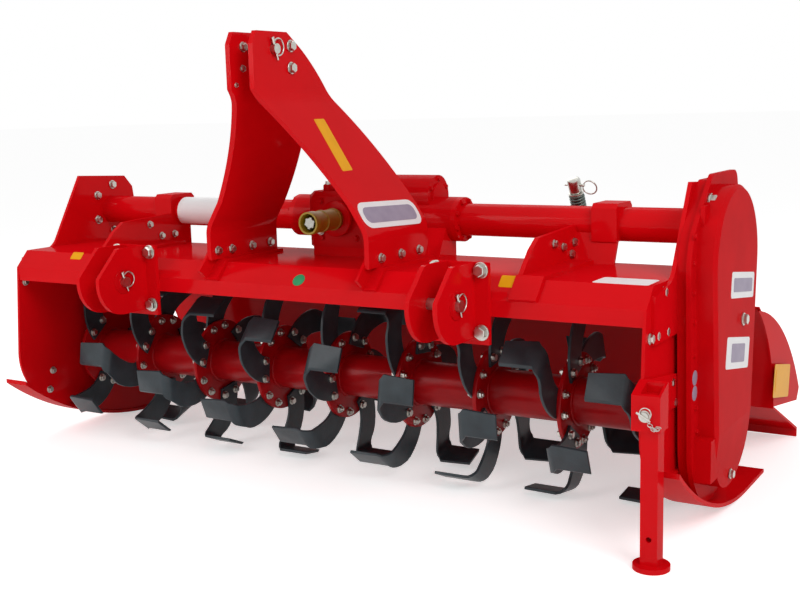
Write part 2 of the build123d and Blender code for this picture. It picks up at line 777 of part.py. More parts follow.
def polar(radius, turn):
    """A point (y, z) at a radius from the axle, turned towards the blade's leading side."""
    return (-radius * sin(radians(turn)), radius * cos(radians(turn)))


def blade_edge(side):
    """Points along the blade's leading (1) or trailing (-1) edge, from the root to the tip."""
    half = blade_width / 2
    points = []
    for step in range(blade_edge_steps):
        share = step / blade_edge_steps
        radius = blade_root_radius + share * (blade_reach - blade_root_radius)
        turn = blade_sweep_angle * (1 - share ** 2) + side * degrees(asin(half / radius))
        points.append(polar(radius, turn))
    return points + [(-side * half, blade_reach)]


def bend_corner(offset):
    """The (x, z) points of the blade's bend, this far inside its outer face."""
    radius = blade_bend_radius + blade_thickness - offset
    center = blade_bend_radius + blade_thickness
    turns = [radians(90.0 * step / blade_bend_steps) for step in range(blade_bend_steps + 1)]
    return [(center - radius * cos(turn), blade_reach - center + radius * sin(turn)) for turn in turns]


# Right-hand blade: an L section cut to the swept outline of the shank, its foot narrowed at the end
with BuildPart() as right_blade:
    with BuildSketch(Plane.XZ.offset(-blade_root_radius)):
        with BuildLine():
            Polyline((0, 0), *bend_corner(0), (blade_foot_length, blade_reach),
                     (blade_foot_length, blade_reach - blade_thickness), *bend_corner(blade_thickness)[::-1],
                     (blade_thickness, 0), close=True)
        make_face()
    extrude(amount=2 * blade_root_radius + blade_width)
    with BuildSketch(Plane.YZ):
        with BuildLine():
            Polyline(*blade_edge(1), *blade_edge(-1)[::-1], close=True)
        make_face()
    extrude(amount=blade_foot_length, mode=Mode.INTERSECT)
    with BuildSketch(Plane.XY.offset(blade_reach - 2 * blade_thickness)):
        with BuildLine():
            Polyline((blade_foot_length, blade_width / 2 - blade_foot_taper),
                     (blade_foot_length, blade_width),
                     (blade_bend_radius + blade_thickness, blade_width / 2), close=True)
        make_face()
    extrude(amount=3 * blade_thickness, mode=Mode.SUBTRACT)

with BuildPart() as left_blade:
    mirror(right_blade.part, about=Plane.YZ)

# Rings of blades: each flange holds both hands in turn, and the end flanges only those that point inwards
for i, x in enumerate(flange_xs):
    with BuildPart() as blades:
        for k in range(blades_per_flange):
            hand = 1 if k % 2 == 0 else -1
            if (i == 0 and hand < 0) or (i == flange_count - 1 and hand > 0):
                continue
            angle = first_blade_angle + i * blade_helix_angle + k * 360.0 / blades_per_flange
            with Locations(Location((x + hand * flange_thickness / 2, 0, axle_height), (angle - 90.0, 0, 0))):
                add(right_blade.part if hand > 0 else left_blade.part)
    save(blades, f"blades_{i + 1}")

# Skids: curved runners under the side plates, each with a web that ends below the axle's bearing
skid_web_top = axle_height - bearing_plate_size / 2 - skid_web_gap
for side, name in ((-1, "skid_left"), (1, "skid_right")):
    x_from, x_to = layer(side, 0, side_plate_thickness + skid_overhang)
    web_from, web_to = layer(side, side_plate_thickness, side_plate_thickness + skid_web_thickness)
    with BuildPart() as skid:
        with BuildSketch(Plane.YZ.offset(x_from)):
            with BuildLine():
                Line((skid_rear, 0), (skid_flat_front, 0))
                skid_arc(skid_flat_front, skid_tip_y, 0)
                Line((skid_tip_y, skid_z(skid_tip_y, 0)), (skid_tip_y, skid_z(skid_tip_y, skid_thickness)))
                skid_arc(skid_tip_y, skid_flat_front, skid_thickness)
                Line((skid_flat_front, skid_thickness), (skid_rear, skid_thickness))
                Line((skid_rear, skid_thickness), (skid_rear, 0))
            make_face()
        extrude(amount=x_to - x_from)
        with BuildSketch(Plane.YZ.offset(web_from)):
            with BuildLine():
                web_foot = skid_thickness / 2
                skid_arc(skid_web_front, skid_flat_front, web_foot)
                Polyline((skid_flat_front, web_foot), (skid_web_rear + skid_web_toe, web_foot),
                         (skid_web_rear, skid_web_top), (skid_web_front + skid_web_step, skid_web_top),
                         (skid_web_front, skid_web_top + skid_web_rise),
                         (skid_web_front, skid_z(skid_web_front, web_foot)))
            make_face()
        extrude(amount=web_to - web_from)
    save(skid, name)

# Parking stand: a square sleeve with a sloping top, on a web bolted to the side plate
stand_x = frame_right + side_plate_thickness + stand_offset
bore_half = stand_leg_size / 2 + slide_gap
sleeve_front = stand_y - bore_half - sleeve_wall
sleeve_rear = stand_y + bore_half + sleeve_wall
web_from, web_to = layer(1, side_plate_thickness, side_plate_thickness + stand_web_thickness)
with BuildPart() as stand_sleeve:
    extrude_profile(((sleeve_front, sleeve_low), (sleeve_rear, sleeve_low), (sleeve_rear, sleeve_rear_top),
                     (sleeve_front, sleeve_front_top)),
                    stand_x - bore_half - sleeve_left_wall, stand_x + bore_half + sleeve_wall)
    with BuildSketch(Plane.XY.offset(sleeve_low)):
        with Locations((stand_x, stand_y)):
            Rectangle(2 * bore_half, 2 * bore_half)
    extrude(amount=sleeve_rear_top - sleeve_low, mode=Mode.SUBTRACT)
    extrude_profile(((sleeve_rear, sleeve_low + stand_web_step), (sleeve_rear, sleeve_rear_top),
                     (stand_web_rear, sleeve_front_top - stand_web_step),
                     (stand_web_rear, sleeve_low - stand_web_step)),
                    web_from, web_to)
save(stand_sleeve, "stand_sleeve")

with BuildPart() as stand_leg:
    with BuildSketch(Plane.XY.offset(foot_thickness)):
        with Locations((stand_x, stand_y)):
            Rectangle(stand_leg_size, stand_leg_size)
    extrude(amount=stand_leg_top - foot_thickness)
    with BuildSketch(Plane.XY):
        with Locations((stand_x, stand_y)):
            Circle(foot_radius)
    extrude(amount=foot_thickness)
save(stand_leg, "stand_leg")

# Rear board, hinged under the hood's rear edge: a curved sheet that flares out to a turned-down lip
board_left = frame_left - side_plate_thickness - board_overhang
board_right = frame_right + side_plate_thickness + board_overhang
board_top_y = hinge_y + board_top_offset
board_top_z = hinge_z - board_top_drop
flare_slope = atan2(board_knee_z - board_rear_z, board_rear_y - board_knee_y)
sheet_y = board_thickness * sin(flare_slope)
sheet_z = board_thickness * cos(flare_slope)
adjuster_lug_half = adjuster_eye_width / 2 + adjuster_eye_gap
adjuster_xs = (-adjuster_x, adjuster_x)
with BuildPart() as rear_board:
    with BuildSketch(Plane.YZ.offset(board_left)):
        with BuildLine():
            RadiusArc((board_top_y, board_top_z), (board_knee_y, board_knee_z), board_arc_radius)
            Polyline((board_knee_y, board_knee_z), (board_rear_y, board_rear_z),
                     (board_rear_y, board_lip_low), (board_rear_y - board_thickness, board_lip_low),
                     (board_rear_y - board_thickness, board_rear_z - sheet_z),
                     (board_knee_y - sheet_y, board_knee_z - sheet_z))
            RadiusArc((board_knee_y - sheet_y, board_knee_z - sheet_z),
                      (board_top_y - board_thickness, board_top_z), -board_arc_radius)
            Line((board_top_y - board_thickness, board_top_z), (board_top_y, board_top_z))
        make_face()
    extrude(amount=board_right - board_left)
    for x in hinge_lug_xs:
        hinge_lug(x + hinge_lug_thickness + hinge_lug_gap, (board_top_y, board_top_z + lug_root_sink / 2),
                  (board_top_y - lug_root_sink / 2, board_top_z - hinge_lug_radius))
    wing_top = (board_top_y - board_thickness, board_top_z - wing_top_drop)
    for x_from in (board_left, board_right - board_thickness):
        with BuildSketch(Plane.YZ.offset(x_from)):
            with BuildLine():
                RadiusArc(wing_top, (wing_tip_y, wing_tip_z), wing_arc_radius)
                Polyline((wing_tip_y, wing_tip_z), (wing_notch_y, wing_notch_z), (board_knee_y, board_knee_z))
                RadiusArc((board_knee_y, board_knee_z), wing_top, -board_arc_radius)
            make_face()
        extrude(amount=board_thickness)
    for x in adjuster_xs:
        for side in (-1, 1):
            lug_x = x + side * (adjuster_lug_half + adjuster_lug_thickness / 2) - adjuster_lug_thickness / 2
            extrude_profile(((adjuster_foot_y, adjuster_foot_z + adjuster_eye_radius),
                             (adjuster_foot_y - adjuster_lug_reach, adjuster_foot_z + adjuster_eye_radius),
                             (adjuster_foot_y - adjuster_lug_toe, adjuster_foot_z - adjuster_lug_drop),
                             (adjuster_foot_y, adjuster_foot_z - adjuster_eye_radius),
                             (adjuster_foot_y + adjuster_eye_radius, adjuster_foot_z)),
                            lug_x, lug_x + adjuster_lug_thickness)
        prism_x(adjuster_pin_radius, adjuster_foot_y, adjuster_foot_z,
                x - adjuster_lug_half, x + adjuster_lug_half)
save(rear_board, "rear_board")

# Adjusters: each rod stands on a pin of the rear board and slides in a guide behind the hood,
# with a spring above the guide and a cap with a cross pin above the spring
lean_y = guide_y - adjuster_foot_y
lean_z = guide_z - adjuster_foot_z
guide_along = hypot(lean_y, lean_z)
lean = (lean_y / guide_along, lean_z / guide_along)
spring_from = guide_along + guide_thickness / 2 + hinge_fit
cap_from = spring_from + spring_length


def beside_guide(across, along):
    """A (y, z) point at a distance across and along the rod from the guide's middle."""
    return (guide_y + across * lean[1] + along * lean[0], guide_z - across * lean[0] + along * lean[1])


for x, side_name in zip(adjuster_xs, ("left", "right")):
    rod_plane = Plane(origin=(x, adjuster_foot_y, adjuster_foot_z), x_dir=(1, 0, 0), z_dir=(0, *lean))
    with BuildPart() as adjuster:
        with BuildSketch(rod_plane):
            Rectangle(adjuster_eye_width, adjuster_rod_size)
        extrude(amount=spring_from)
        for radius, start, end in ((spring_radius, spring_from, cap_from),
                                   (adjuster_cap_radius, cap_from, cap_from + adjuster_cap_length)):
            with BuildSketch(rod_plane.offset(start)):
                RegularPolygon(radius, small_sides)
            extrude(amount=end - start)
        prism_x(adjuster_eye_radius, adjuster_foot_y, adjuster_foot_z,
                x - adjuster_eye_width / 2, x + adjuster_eye_width / 2)
        bore_x(adjuster_pin_radius + hinge_fit, adjuster_foot_y, adjuster_foot_z,
               x - adjuster_eye_width, x + adjuster_eye_width)
        chamfer(adjuster.faces().sort_by(Axis.Z)[-1].edges(), length=adjuster_cap_radius / 3)
    save(adjuster, f"adjuster_{side_name}")
    with BuildPart() as adjuster_arm:
        for side in (-1, 1):
            cheek_x = x + side * (guide_cheek_gap + guide_cheek_thickness) / 2 - guide_cheek_thickness / 2
            extrude_profile(((guide_root_y, deck_top - guide_root_sink), (hood_rear_y, hood_rear_z),
                             beside_guide(guide_length / 2, -2 * guide_thickness),
                             beside_guide(guide_length / 2, guide_thickness / 2),
                             beside_guide(-guide_length / 2, guide_thickness / 2), (guide_root_y, deck_top)),
                            cheek_x, cheek_x + guide_cheek_thickness)
        with BuildSketch(rod_plane.offset(guide_along - guide_thickness / 2)):
            Rectangle(guide_cheek_gap, guide_length)
            Rectangle(adjuster_eye_width + 2 * guide_gap, adjuster_rod_size + 4 * guide_gap,
                      mode=Mode.SUBTRACT)
        extrude(amount=guide_thickness)
        bar_x(hood_arc_radius, deck_flat_rear, deck_top - hood_arc_radius,
              x - guide_cheek_gap, x + guide_cheek_gap, Mode.SUBTRACT)
    save(adjuster_arm, f"adjuster_arm_{side_name}")
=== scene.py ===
# %% [markdown]
# # A rotary tiller in a photo studio
#
# A rotary tiller hangs behind a tractor and chops the soil with a bladed rotor. Its solids
# come in as a fixed frame. This lesson gives each solid the finish of the real one, models
# what is too small or too fine for the frame, such as bolts, splines, springs and blank
# plates, and then sets the floor, the lamps and the camera. Lengths are in metres. Points
# read off the photo are in millimetres, and mm() turns them into metres.

# %% Load the frame
from math import atan, atan2, cos, degrees, hypot, pi, radians, sin

import bmesh
import bpy
from mathutils import Matrix, Vector


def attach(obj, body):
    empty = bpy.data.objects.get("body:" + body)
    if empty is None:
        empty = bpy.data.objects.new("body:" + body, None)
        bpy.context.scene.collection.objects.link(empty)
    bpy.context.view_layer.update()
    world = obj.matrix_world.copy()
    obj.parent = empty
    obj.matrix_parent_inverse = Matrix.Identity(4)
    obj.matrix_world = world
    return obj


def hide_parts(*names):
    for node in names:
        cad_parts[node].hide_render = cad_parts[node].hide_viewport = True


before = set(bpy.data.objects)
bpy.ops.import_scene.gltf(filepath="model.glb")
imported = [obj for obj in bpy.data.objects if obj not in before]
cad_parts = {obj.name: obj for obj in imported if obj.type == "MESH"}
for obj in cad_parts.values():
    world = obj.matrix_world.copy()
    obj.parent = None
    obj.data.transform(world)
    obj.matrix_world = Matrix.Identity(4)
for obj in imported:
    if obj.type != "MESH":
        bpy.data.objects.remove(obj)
bpy.ops.object.select_all(action="DESELECT")
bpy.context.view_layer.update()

# %% [markdown]
# Two helpers serve every finish. Paint colours are written as screen hex values, but a shader
# wants linear light, so one function turns one into the other. The second adds a node, sets
# its values and draws its links. A third builds a finish: paint, metal and film all drift in
# colour and have a fine relief, so one set of nodes serves them all, with other numbers.


# %% Colour and node helpers
def linear(hex_color):
    """Turn an sRGB hex colour into the linear RGBA that a shader socket takes."""
    channels = [int(hex_color[i:i + 2], 16) / 255 for i in (1, 3, 5)]
    return [c / 12.92 if c <= 0.04045 else ((c + 0.055) / 1.055) ** 2.4 for c in channels] + [1.0]


def add_node(tree, kind, links=None, inputs=None, **settings):
    """Add a node with its own settings, its input values and the links that feed it."""
    node = tree.nodes.new(kind)
    for key, value in settings.items():
        setattr(node, key, value)
    for key, value in (inputs or {}).items():
        node.inputs[key].default_value = value
    for key, source in (links or {}).items():
        tree.links.new(source, node.inputs[key])
    return node


relief_strength = 0.4


def surface_finish(name, light_hex, deep_hex, cloud_mm, grain_mm, grain_depth_mm, **shader):
    """A finish whose colour drifts between two tones and whose skin has a fine relief."""
    material = bpy.data.materials.new(name)
    material.use_nodes = True
    tree = material.node_tree
    tree.nodes.clear()
    place = add_node(tree, "ShaderNodeTexCoord").outputs["Object"]
    cloud = add_node(tree, "ShaderNodeTexNoise", {"Vector": place},
                     {"Scale": 1000 / cloud_mm, "Detail": 4.0})
    tint = add_node(tree, "ShaderNodeMix", {"Factor": cloud.outputs["Fac"]},
                    {"A": linear(light_hex), "B": linear(deep_hex)}, data_type="RGBA")
    grain = add_node(tree, "ShaderNodeTexNoise", {"Vector": place},
                     {"Scale": 1000 / grain_mm, "Detail": 1.0})
    relief = add_node(tree, "ShaderNodeBump", {"Height": grain.outputs["Fac"]},
                      {"Strength": relief_strength, "Distance": grain_depth_mm / 1000})
    skin = add_node(tree, "ShaderNodeBsdfPrincipled",
                    {"Base Color": tint.outputs["Result"], "Normal": relief.outputs["Normal"]}, shader)
    add_node(tree, "ShaderNodeOutputMaterial", {"Surface": skin.outputs["BSDF"]})
    return material


# %% [markdown]
# The body is steel plate and cast iron under sprayed gloss enamel. It is smooth and wet-looking,
# so it has a clear skin, but a sprayed film is never optically flat: an orange-peel ripple of
# about 3 mm softens the reflections. A slow drift over a hand's width makes the film a little
# deeper in some places than in others. Castings show a coarser skin through it.
#
# All the gloss comes from the clear skin. A colour layer with its own reflection would mirror
# the white studio and turn the red pink, so its specular level is 0, and the red stays deep
# beside crisp highlights. The dipped rotor keeps a little of it.


# %% Painted finishes
def gloss(roughness, specular, coat, coat_roughness):
    """The shader values of a paint under a clear skin."""
    return {"Roughness": roughness, "Specular IOR Level": specular,
            "Coat Weight": coat, "Coat Roughness": coat_roughness}


red_enamel = surface_finish("red_sprayed_enamel_on_plate", "#DE0A14", "#CC0710", 140, 3.0, 0.3,
                            **gloss(0.4, 0.0, 0.16, 0.1))
red_cast = surface_finish("red_enamel_on_cast_iron", "#D60A13", "#BE070F", 90, 1.6, 0.9,
                          **gloss(0.4, 0.0, 0.1, 0.14))
red_rotor = surface_finish("red_dipped_enamel_on_rotor", "#C20A12", "#920810", 60, 4.0, 0.6,
                           **gloss(0.34, 0.15, 0.08, 0.12))
print("paints:", red_enamel.name, red_cast.name, red_rotor.name)

# %% [markdown]
# The blades are forged from spring steel and dipped in thin blue-black paint. It is satin, and
# the scale from the forge shows through as a soft unevenness. Small steel parts are zinc-plated:
# the metal mirrors the studio, and its clouding breaks that up. The shaft is bare turned steel
# with tighter highlights, and grey phosphate dulls the springs. The guard is moulded, so it is
# evenly matt. The blank films have vinyl's faint sheen, which sets them off from wet enamel.

# %% Metals and plastics
blade_steel = surface_finish("blue_black_paint_on_forged_steel", "#3A454B", "#181F23", 45, 6.0, 0.8,
                             **{"Roughness": 0.4, "Specular IOR Level": 0.35})
zinc = surface_finish("zinc_plated_steel", "#D2D1CC", "#A8A69C", 11, 1.0, 0.1,
                      Metallic=1.0, Roughness=0.3)
spring_steel = surface_finish("grey_phosphated_spring_steel", "#6E7A74", "#545F5A", 8, 1.2, 0.1,
                              Metallic=0.7, Roughness=0.42)
turned_steel = surface_finish("bare_turned_steel", "#B9B7B1", "#8F8C85", 15, 0.8, 0.1,
                              Metallic=1.0, Roughness=0.26)
guard_plastic = surface_finish("olive_yellow_moulded_polyethylene", "#A48A16", "#8A7410", 30, 1.5, 0.3,
                               Roughness=0.5)
vinyl = {"Roughness": 0.4, "Specular IOR Level": 0.12}
white_film = surface_finish("white_vinyl_film", "#F2F1F0", "#E6E4E6", 60, 2.5, 0.1, **vinyl)
lilac_film = surface_finish("lilac_grey_vinyl_film", "#A79CAE", "#8E8399", 30, 2.5, 0.1, **vinyl)
yellow_film = surface_finish("yellow_vinyl_film", "#F3AE06", "#E29B00", 40, 2.5, 0.1, **vinyl)
green_film = surface_finish("green_vinyl_film", "#3FA06C", "#2F8B5A", 12, 2.5, 0.1, **vinyl)
print("materials:", len(bpy.data.materials))

# %% [markdown]
# Each solid now takes its finish: cast pieces the coarse red, pins and rods the zinc, plates
# and tubes the smooth red. In one loop this red is the rule and the others are exceptions, so
# that no solid is left bare.

# %% Finish the solids
cast_nodes = {"gearbox", "gear_case", "gear_case_cover", "rotor_bearing_left", "rotor_bearing_right"}
zinc_nodes = {"hinge_rod", "top_link_pin", "hitch_pin_left", "hitch_pin_right",
              "adjuster_left", "adjuster_right"}
for name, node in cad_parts.items():
    finish = red_enamel
    if name in cast_nodes:
        finish = red_cast
    elif name in zinc_nodes:
        finish = zinc
    elif name.startswith("blades"):
        finish = blade_steel
    elif name == "rotor":
        finish = red_rotor
    elif name.startswith("pto"):
        finish = guard_plastic if name == "pto_guard" else turned_steel
    node.data.materials.clear()
    node.data.materials.append(finish)
print("finished nodes:", len(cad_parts))

# %% [markdown]
# New pieces are worked as by hand: a primitive is added in its place, its faces or edges are
# picked by where they lie or face, and they are extruded, inset or bevelled.


# %% Modelling helpers
def activate(piece):
    """Make the piece the only selected one and the active one."""
    bpy.ops.object.select_all(action="DESELECT")
    piece.select_set(True)
    bpy.context.view_layer.objects.active = piece


def start(kind, **settings):
    """Add a primitive and open it in edit mode."""
    bpy.ops.object.select_all(action="DESELECT")
    getattr(bpy.ops.mesh, f"primitive_{kind}_add")(**settings)
    bpy.ops.object.mode_set(mode="EDIT")
    return bpy.context.object


def pick(piece, test, kind="FACE"):
    """Select the piece's faces or edges whose middle and direction pass the test."""
    bpy.ops.mesh.select_mode(type=kind)
    bpy.ops.mesh.select_all(action="DESELECT")
    mesh = bmesh.from_edit_mesh(piece.data)
    if kind == "FACE":
        chosen = [f for f in mesh.faces if test(f.calc_center_median(), f.normal)]
    else:
        ends = [(e, e.verts[0].co, e.verts[1].co) for e in mesh.edges]
        chosen = [e for e, a, b in ends if test((a + b) / 2, (b - a).normalized())]
    for item in chosen:
        item.select_set(True)
    mesh.select_flush_mode()
    bmesh.update_edit_mesh(piece.data)
    return len(chosen)


def looks_up(middle, normal):
    """A test for pick: the face looks up."""
    return normal.z > 0.9


def along_z(middle, way):
    """A test for pick: the face looks up or down, or the edge stands upright."""
    return abs(way.z) > 0.9


def inset_and_lift(inset, lift):
    """Inset the picked face and lift its middle, which leaves a chamfer round it."""
    bpy.ops.mesh.inset(thickness=inset)
    bpy.ops.transform.translate(value=(0, 0, lift))


def extrude_by(step):
    """Extrude what is picked by a step."""
    bpy.ops.mesh.extrude_region_move(TRANSFORM_OT_translate={"value": step})


def extrude_outwards(depth):
    """Extrude the picked faces along their normals."""
    bpy.ops.mesh.extrude_region_shrink_fatten(TRANSFORM_OT_shrink_fatten={"value": depth})


def face_outwards():
    """Turn all faces of the open piece outwards."""
    bpy.ops.mesh.select_all(action="SELECT")
    bpy.ops.mesh.normals_make_consistent(inside=False)


def leave_edit_mode(piece):
    """Go back to object mode if the piece is open."""
    if piece.mode == "EDIT":
        bpy.ops.object.mode_set(mode="OBJECT")


def apply_modifier(piece, kind, **settings):
    """Leave edit mode, put a modifier on the piece and apply it."""
    leave_edit_mode(piece)
    bpy.context.view_layer.objects.active = piece
    modifier = piece.modifiers.new(kind.lower(), kind)
    for key, value in settings.items():
        setattr(modifier, key, value)
    bpy.ops.object.modifier_apply(modifier=modifier.name)


def ease_edges(piece, width, segments):
    """Bevel all edges that turn by more than 40 degrees."""
    apply_modifier(piece, "BEVEL", width=width, segments=segments,
                   limit_method="ANGLE", angle_limit=radians(40))


def close_mesh(piece, angle):
    """Leave edit mode, put the place into the mesh and shade smooth between sharp edges."""
    leave_edit_mode(piece)
    activate(piece)
    bpy.ops.object.transform_apply(location=True, rotation=True, scale=True)
    bpy.ops.object.shade_smooth_by_angle(angle=radians(angle))
    piece.select_set(False)
    return piece


# %% [markdown]
# A pattern is made once at the origin and carried to its places. Each copy gets its own mesh,
# and the copies are joined into one piece, which takes a name, a finish and the body that it
# moves with.


# %% Helpers that copy, join and dress
along_x, along_y = (0, pi / 2, 0), (pi / 2, 0, 0)


def mm(*values):
    """Millimetres to metres."""
    return tuple(value / 1000 for value in values)


def facing(place, direction, size=1.0, turn=0.0):
    """The matrix that carries a pattern, upright at the origin, to a place and a direction."""
    aim = Vector(direction).to_track_quat("Z", "Y").to_matrix().to_4x4()
    aimed = Matrix.Translation(Vector(place)) @ aim
    return aimed @ Matrix.Rotation(turn, 4, "Z") @ Matrix.Scale(size, 4)


def join(pieces):
    """Make one piece of several."""
    if len(pieces) == 1:
        return pieces[0]
    bpy.ops.object.select_all(action="DESELECT")
    for piece in pieces:
        piece.select_set(True)
    bpy.context.view_layer.objects.active = pieces[0]
    bpy.ops.object.join()
    pieces[0].select_set(False)
    return pieces[0]


def repeat(pattern, matrices):
    """Copy a pattern, each copy with its own mesh, and join the copies into one piece."""
    made = []
    for matrix in matrices:
        twin = pattern.copy()
        twin.data = pattern.data.copy()
        twin.data.transform(matrix)
        bpy.context.collection.objects.link(twin)
        made.append(twin)
    return join(made)


def dress(piece, name, finish, body="frame"):
    """Name the piece and give it its finish and the body that it moves with."""
    piece.name = name
    piece.data.materials.clear()
    piece.data.materials.append(finish)
    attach(piece, body)
    return piece


# %% [markdown]
# A hexagon bolt head is a forged six-sided head on a washer. The corners are turned away by a
# chamfer, which catches the light, so the top face is inset and lifted. The nut is the same
# form with the thread's end standing out of it. Both are made once, 18 mm across the flats.

# %% Bolt and nut patterns
head_radius, head_height = 0.0104, 0.0075
washer_radius, washer_height = 0.013, 0.0025


def make_hex(rim_inset, stud_height=0.0):
    """A hexagon head, or a nut with the end of its stud, on a washer, upright at the origin."""
    head = start("cylinder", vertices=6, radius=head_radius, depth=head_height,
                 location=(0, 0, washer_height + head_height / 2))
    pick(head, looks_up)
    inset_and_lift(inset=rim_inset, lift=0.0009)
    if stud_height:
        bpy.ops.mesh.inset(thickness=0.0026)
        extrude_by((0, 0, stud_height))
        inset_and_lift(inset=0.0012, lift=0.0008)
    close_mesh(head, 20)
    washer = start("cylinder", vertices=20, radius=washer_radius, depth=washer_height,
                   location=(0, 0, washer_height / 2))
    pick(washer, looks_up)
    inset_and_lift(inset=0.0008, lift=0.0006)
    close_mesh(washer, 20)
    return join([head, washer])


bolt = make_hex(rim_inset=0.0016)
nut = make_hex(rim_inset=0.0014, stud_height=0.004)
print("bolt faces:", len(bolt.data.polygons), "nut faces:", len(nut.data.polygons))

# %% [markdown]
# The bolts sit where the photo shows them, on the ears, the side plates, the mast's feet, the
# tube brackets, the clamps and the mast. Tables give their points and the way the heads face,
# because numbers in rows are easy to check against the photo. These zinc-plated heads stay
# bright, where those on the castings were painted over.

# %% Bright bolts
left, right, front, rear, up = (-1, 0, 0), (1, 0, 0), (0, -1, 0), (0, 1, 0), (0, 0, 1)
rows_facing_right = (
    # x, size against 18 mm flats, then y and z of each bolt
    (-1003, 1.1, ((97, 800), (27, 768), (24, 688), (92, 646))),  # left tube end plate
    (-995, 0.9, ((-217, 600), (-309, 526), (-227, 227), (-245, 168))),  # left side plate
    (1020, 1.0, ((-163, 376), (-143, 323))),  # right side plate
    (1028, 1.0, ((-95, 166), (45, 70))),  # right skid
    (1020, 1.0, ((-273, 507), (-205, 505), (-310, 507), (-221, 600))),  # right side plate
    (295, 1.0, ((-273, 652), (-174, 652), (-81, 652))),  # foot of the right mast plate
    (-219, 1.0, ((-300, 654), (-240, 652), (-150, 652), (-64, 652))),  # foot of the left one
    (696, 0.9, ((-95, 683), (-38, 669), (33, 674), (15, 645))),  # right tube bracket
    (-684, 0.9, ((-19, 650), (40, 650), (-70, 690))),  # left tube bracket
)
plate_bolts = [(x, y, z, right, size) for x, size, points in rows_facing_right for y, z in points]

hitch_middle, hitch_half = 31, 526
lower_pins = (hitch_middle - hitch_half, hitch_middle + hitch_half)
clamp_bolts = [(x + offset, -342, z, front, 1.5)
               for offset in (61, -61) for x in lower_pins for z in (646, 496)]
mast_bolts = [(74, -324, 1192, right, 1.2), (74, -324, 1137, right, 1.2),
              (-12, -455, 1137, left, 1.0), (2, -430, 1137, right, 0.7),
              (2, -426, 1190, right, 1.0), (2, -458, 1096, right, 0.5)]
bright_bolts = [facing(mm(x, y, z), way, size)
                for x, y, z, way, size in plate_bolts + clamp_bolts + mast_bolts]
dress(repeat(bolt, bright_bolts), "bright_bolts", zinc)
print("bright bolts:", len(bright_bolts))

# %% [markdown]
# Each blade is an L: a curved shank bolted to its flange, and a foot that turns aside and cuts
# the soil loose. A smith bends it from flat bar. Here a flat quad is the foot, and its inner
# edge is drawn round the bend and down the shank, turning as it goes. Then the sheet gets the
# bar's 8 mm, its cutting edge is ground to a bevel, and all its edges are eased a little. A
# cut-out outline could not follow the bar, which both bends and twists.

# %% The blade's curve
axle_z = 0.262
blade_root, blade_tip = 0.084, 0.252
blade_sweep, sweep_power = 34.0, 1.5
blade_half, blade_thickness, bend_radius = 0.038, 0.008, 0.022


def shank_share(height):
    """0 at the blade's root, 1 at its tip."""
    return min(1.0, max(0.0, (height - blade_root) / (blade_tip - blade_root)))


def shank_turn(height):
    """How far the shank leads at a height over the axle, in radians."""
    return radians(blade_sweep * (1 - shank_share(height) ** sweep_power))


def edge_turn(height, squared):
    """How far the bar's cross edge turns there: squared 1 sets it square to the curve."""
    slope = shank_share(height) ** (sweep_power - 1)
    bend = radians(blade_sweep) * sweep_power * slope / (blade_tip - blade_root)
    return shank_turn(height) - squared * atan(height * bend)


print("lead at the root:", round(degrees(shank_turn(blade_root)), 1), "degrees")

# %% [markdown]
# Now the bar follows that curve. Each station is a cross edge of it: its place and its turn.

# %% Blade
foot_length, foot_taper, foot_lean, corner_drop = 0.118, 0.92, -0.003, 0.0025
mid_z = blade_tip - blade_thickness / 2 - corner_drop
bend_x = blade_thickness / 2 + bend_radius
bend_steps, shank_steps = 4, 8
bend_square, step_square, most_square = 0.2, 0.35, 0.9
ground_width, eased = 0.006, 0.0012


def blade_stations():
    """X, height over the axle and squareness of each cross edge, from the bend to the root."""
    stations = []
    for step in range(1, bend_steps + 1):
        share = step / bend_steps
        angle = share * pi / 2
        stations.append((bend_x - bend_radius * sin(angle), mid_z - bend_radius * (1 - cos(angle)),
                         bend_square * share))
    bend_end = stations[-1][1]
    for step in range(1, shank_steps + 1):
        stations.append((blade_thickness / 2, bend_end - (bend_end - blade_root) * step / shank_steps,
                         min(most_square, bend_square + step_square * step)))
    return stations


def make_blade():
    """A right-hand blade with its flange face at x = 0 and its tip up."""
    blade = start("plane", size=1, location=((foot_length + bend_x) / 2, 0, mid_z))
    bpy.ops.transform.resize(value=(foot_length - bend_x, 2 * blade_half, 1))
    center = blade.location.copy()
    pick(blade, lambda middle, way: middle.x + center.x > foot_length - 0.001 and abs(way.y) > 0.9,
         "EDGE")
    bpy.ops.transform.resize(value=(1, foot_taper, 1))
    bpy.ops.transform.translate(value=(0, foot_lean, 0))
    pick(blade, lambda middle, way: middle.x + center.x < bend_x + 0.001 and abs(way.y) > 0.9, "EDGE")
    x, y, z, turn = bend_x, 0.0, mid_z, 0.0
    for new_x, height, squared in blade_stations():
        place_turn, new_turn = shank_turn(height), edge_turn(height, squared)
        new_y, new_z = -height * sin(place_turn), height * cos(place_turn)
        extrude_by((new_x - x, new_y - y, new_z - z))
        bpy.ops.transform.rotate(value=turn - new_turn, orient_axis="X",
                                 center_override=(new_x, new_y, new_z))
        x, y, z, turn = new_x, new_y, new_z, new_turn
    apply_modifier(blade, "SOLIDIFY", thickness=blade_thickness, offset=0)
    bpy.ops.object.mode_set(mode="EDIT")
    outer_skin = mid_z + 0.7 * blade_thickness / 2
    ground = pick(blade, lambda middle, way: middle.z + center.z > outer_skin
                  and middle.y < -0.02 and abs(way.x) > 0.9, "EDGE")
    bpy.ops.mesh.bevel(offset=ground_width, segments=1, affect="EDGES")
    face_outwards()
    ease_edges(blade, eased, 1)
    print("ground edges:", ground, "blade faces:", len(blade.data.polygons))
    return close_mesh(blade, 40)


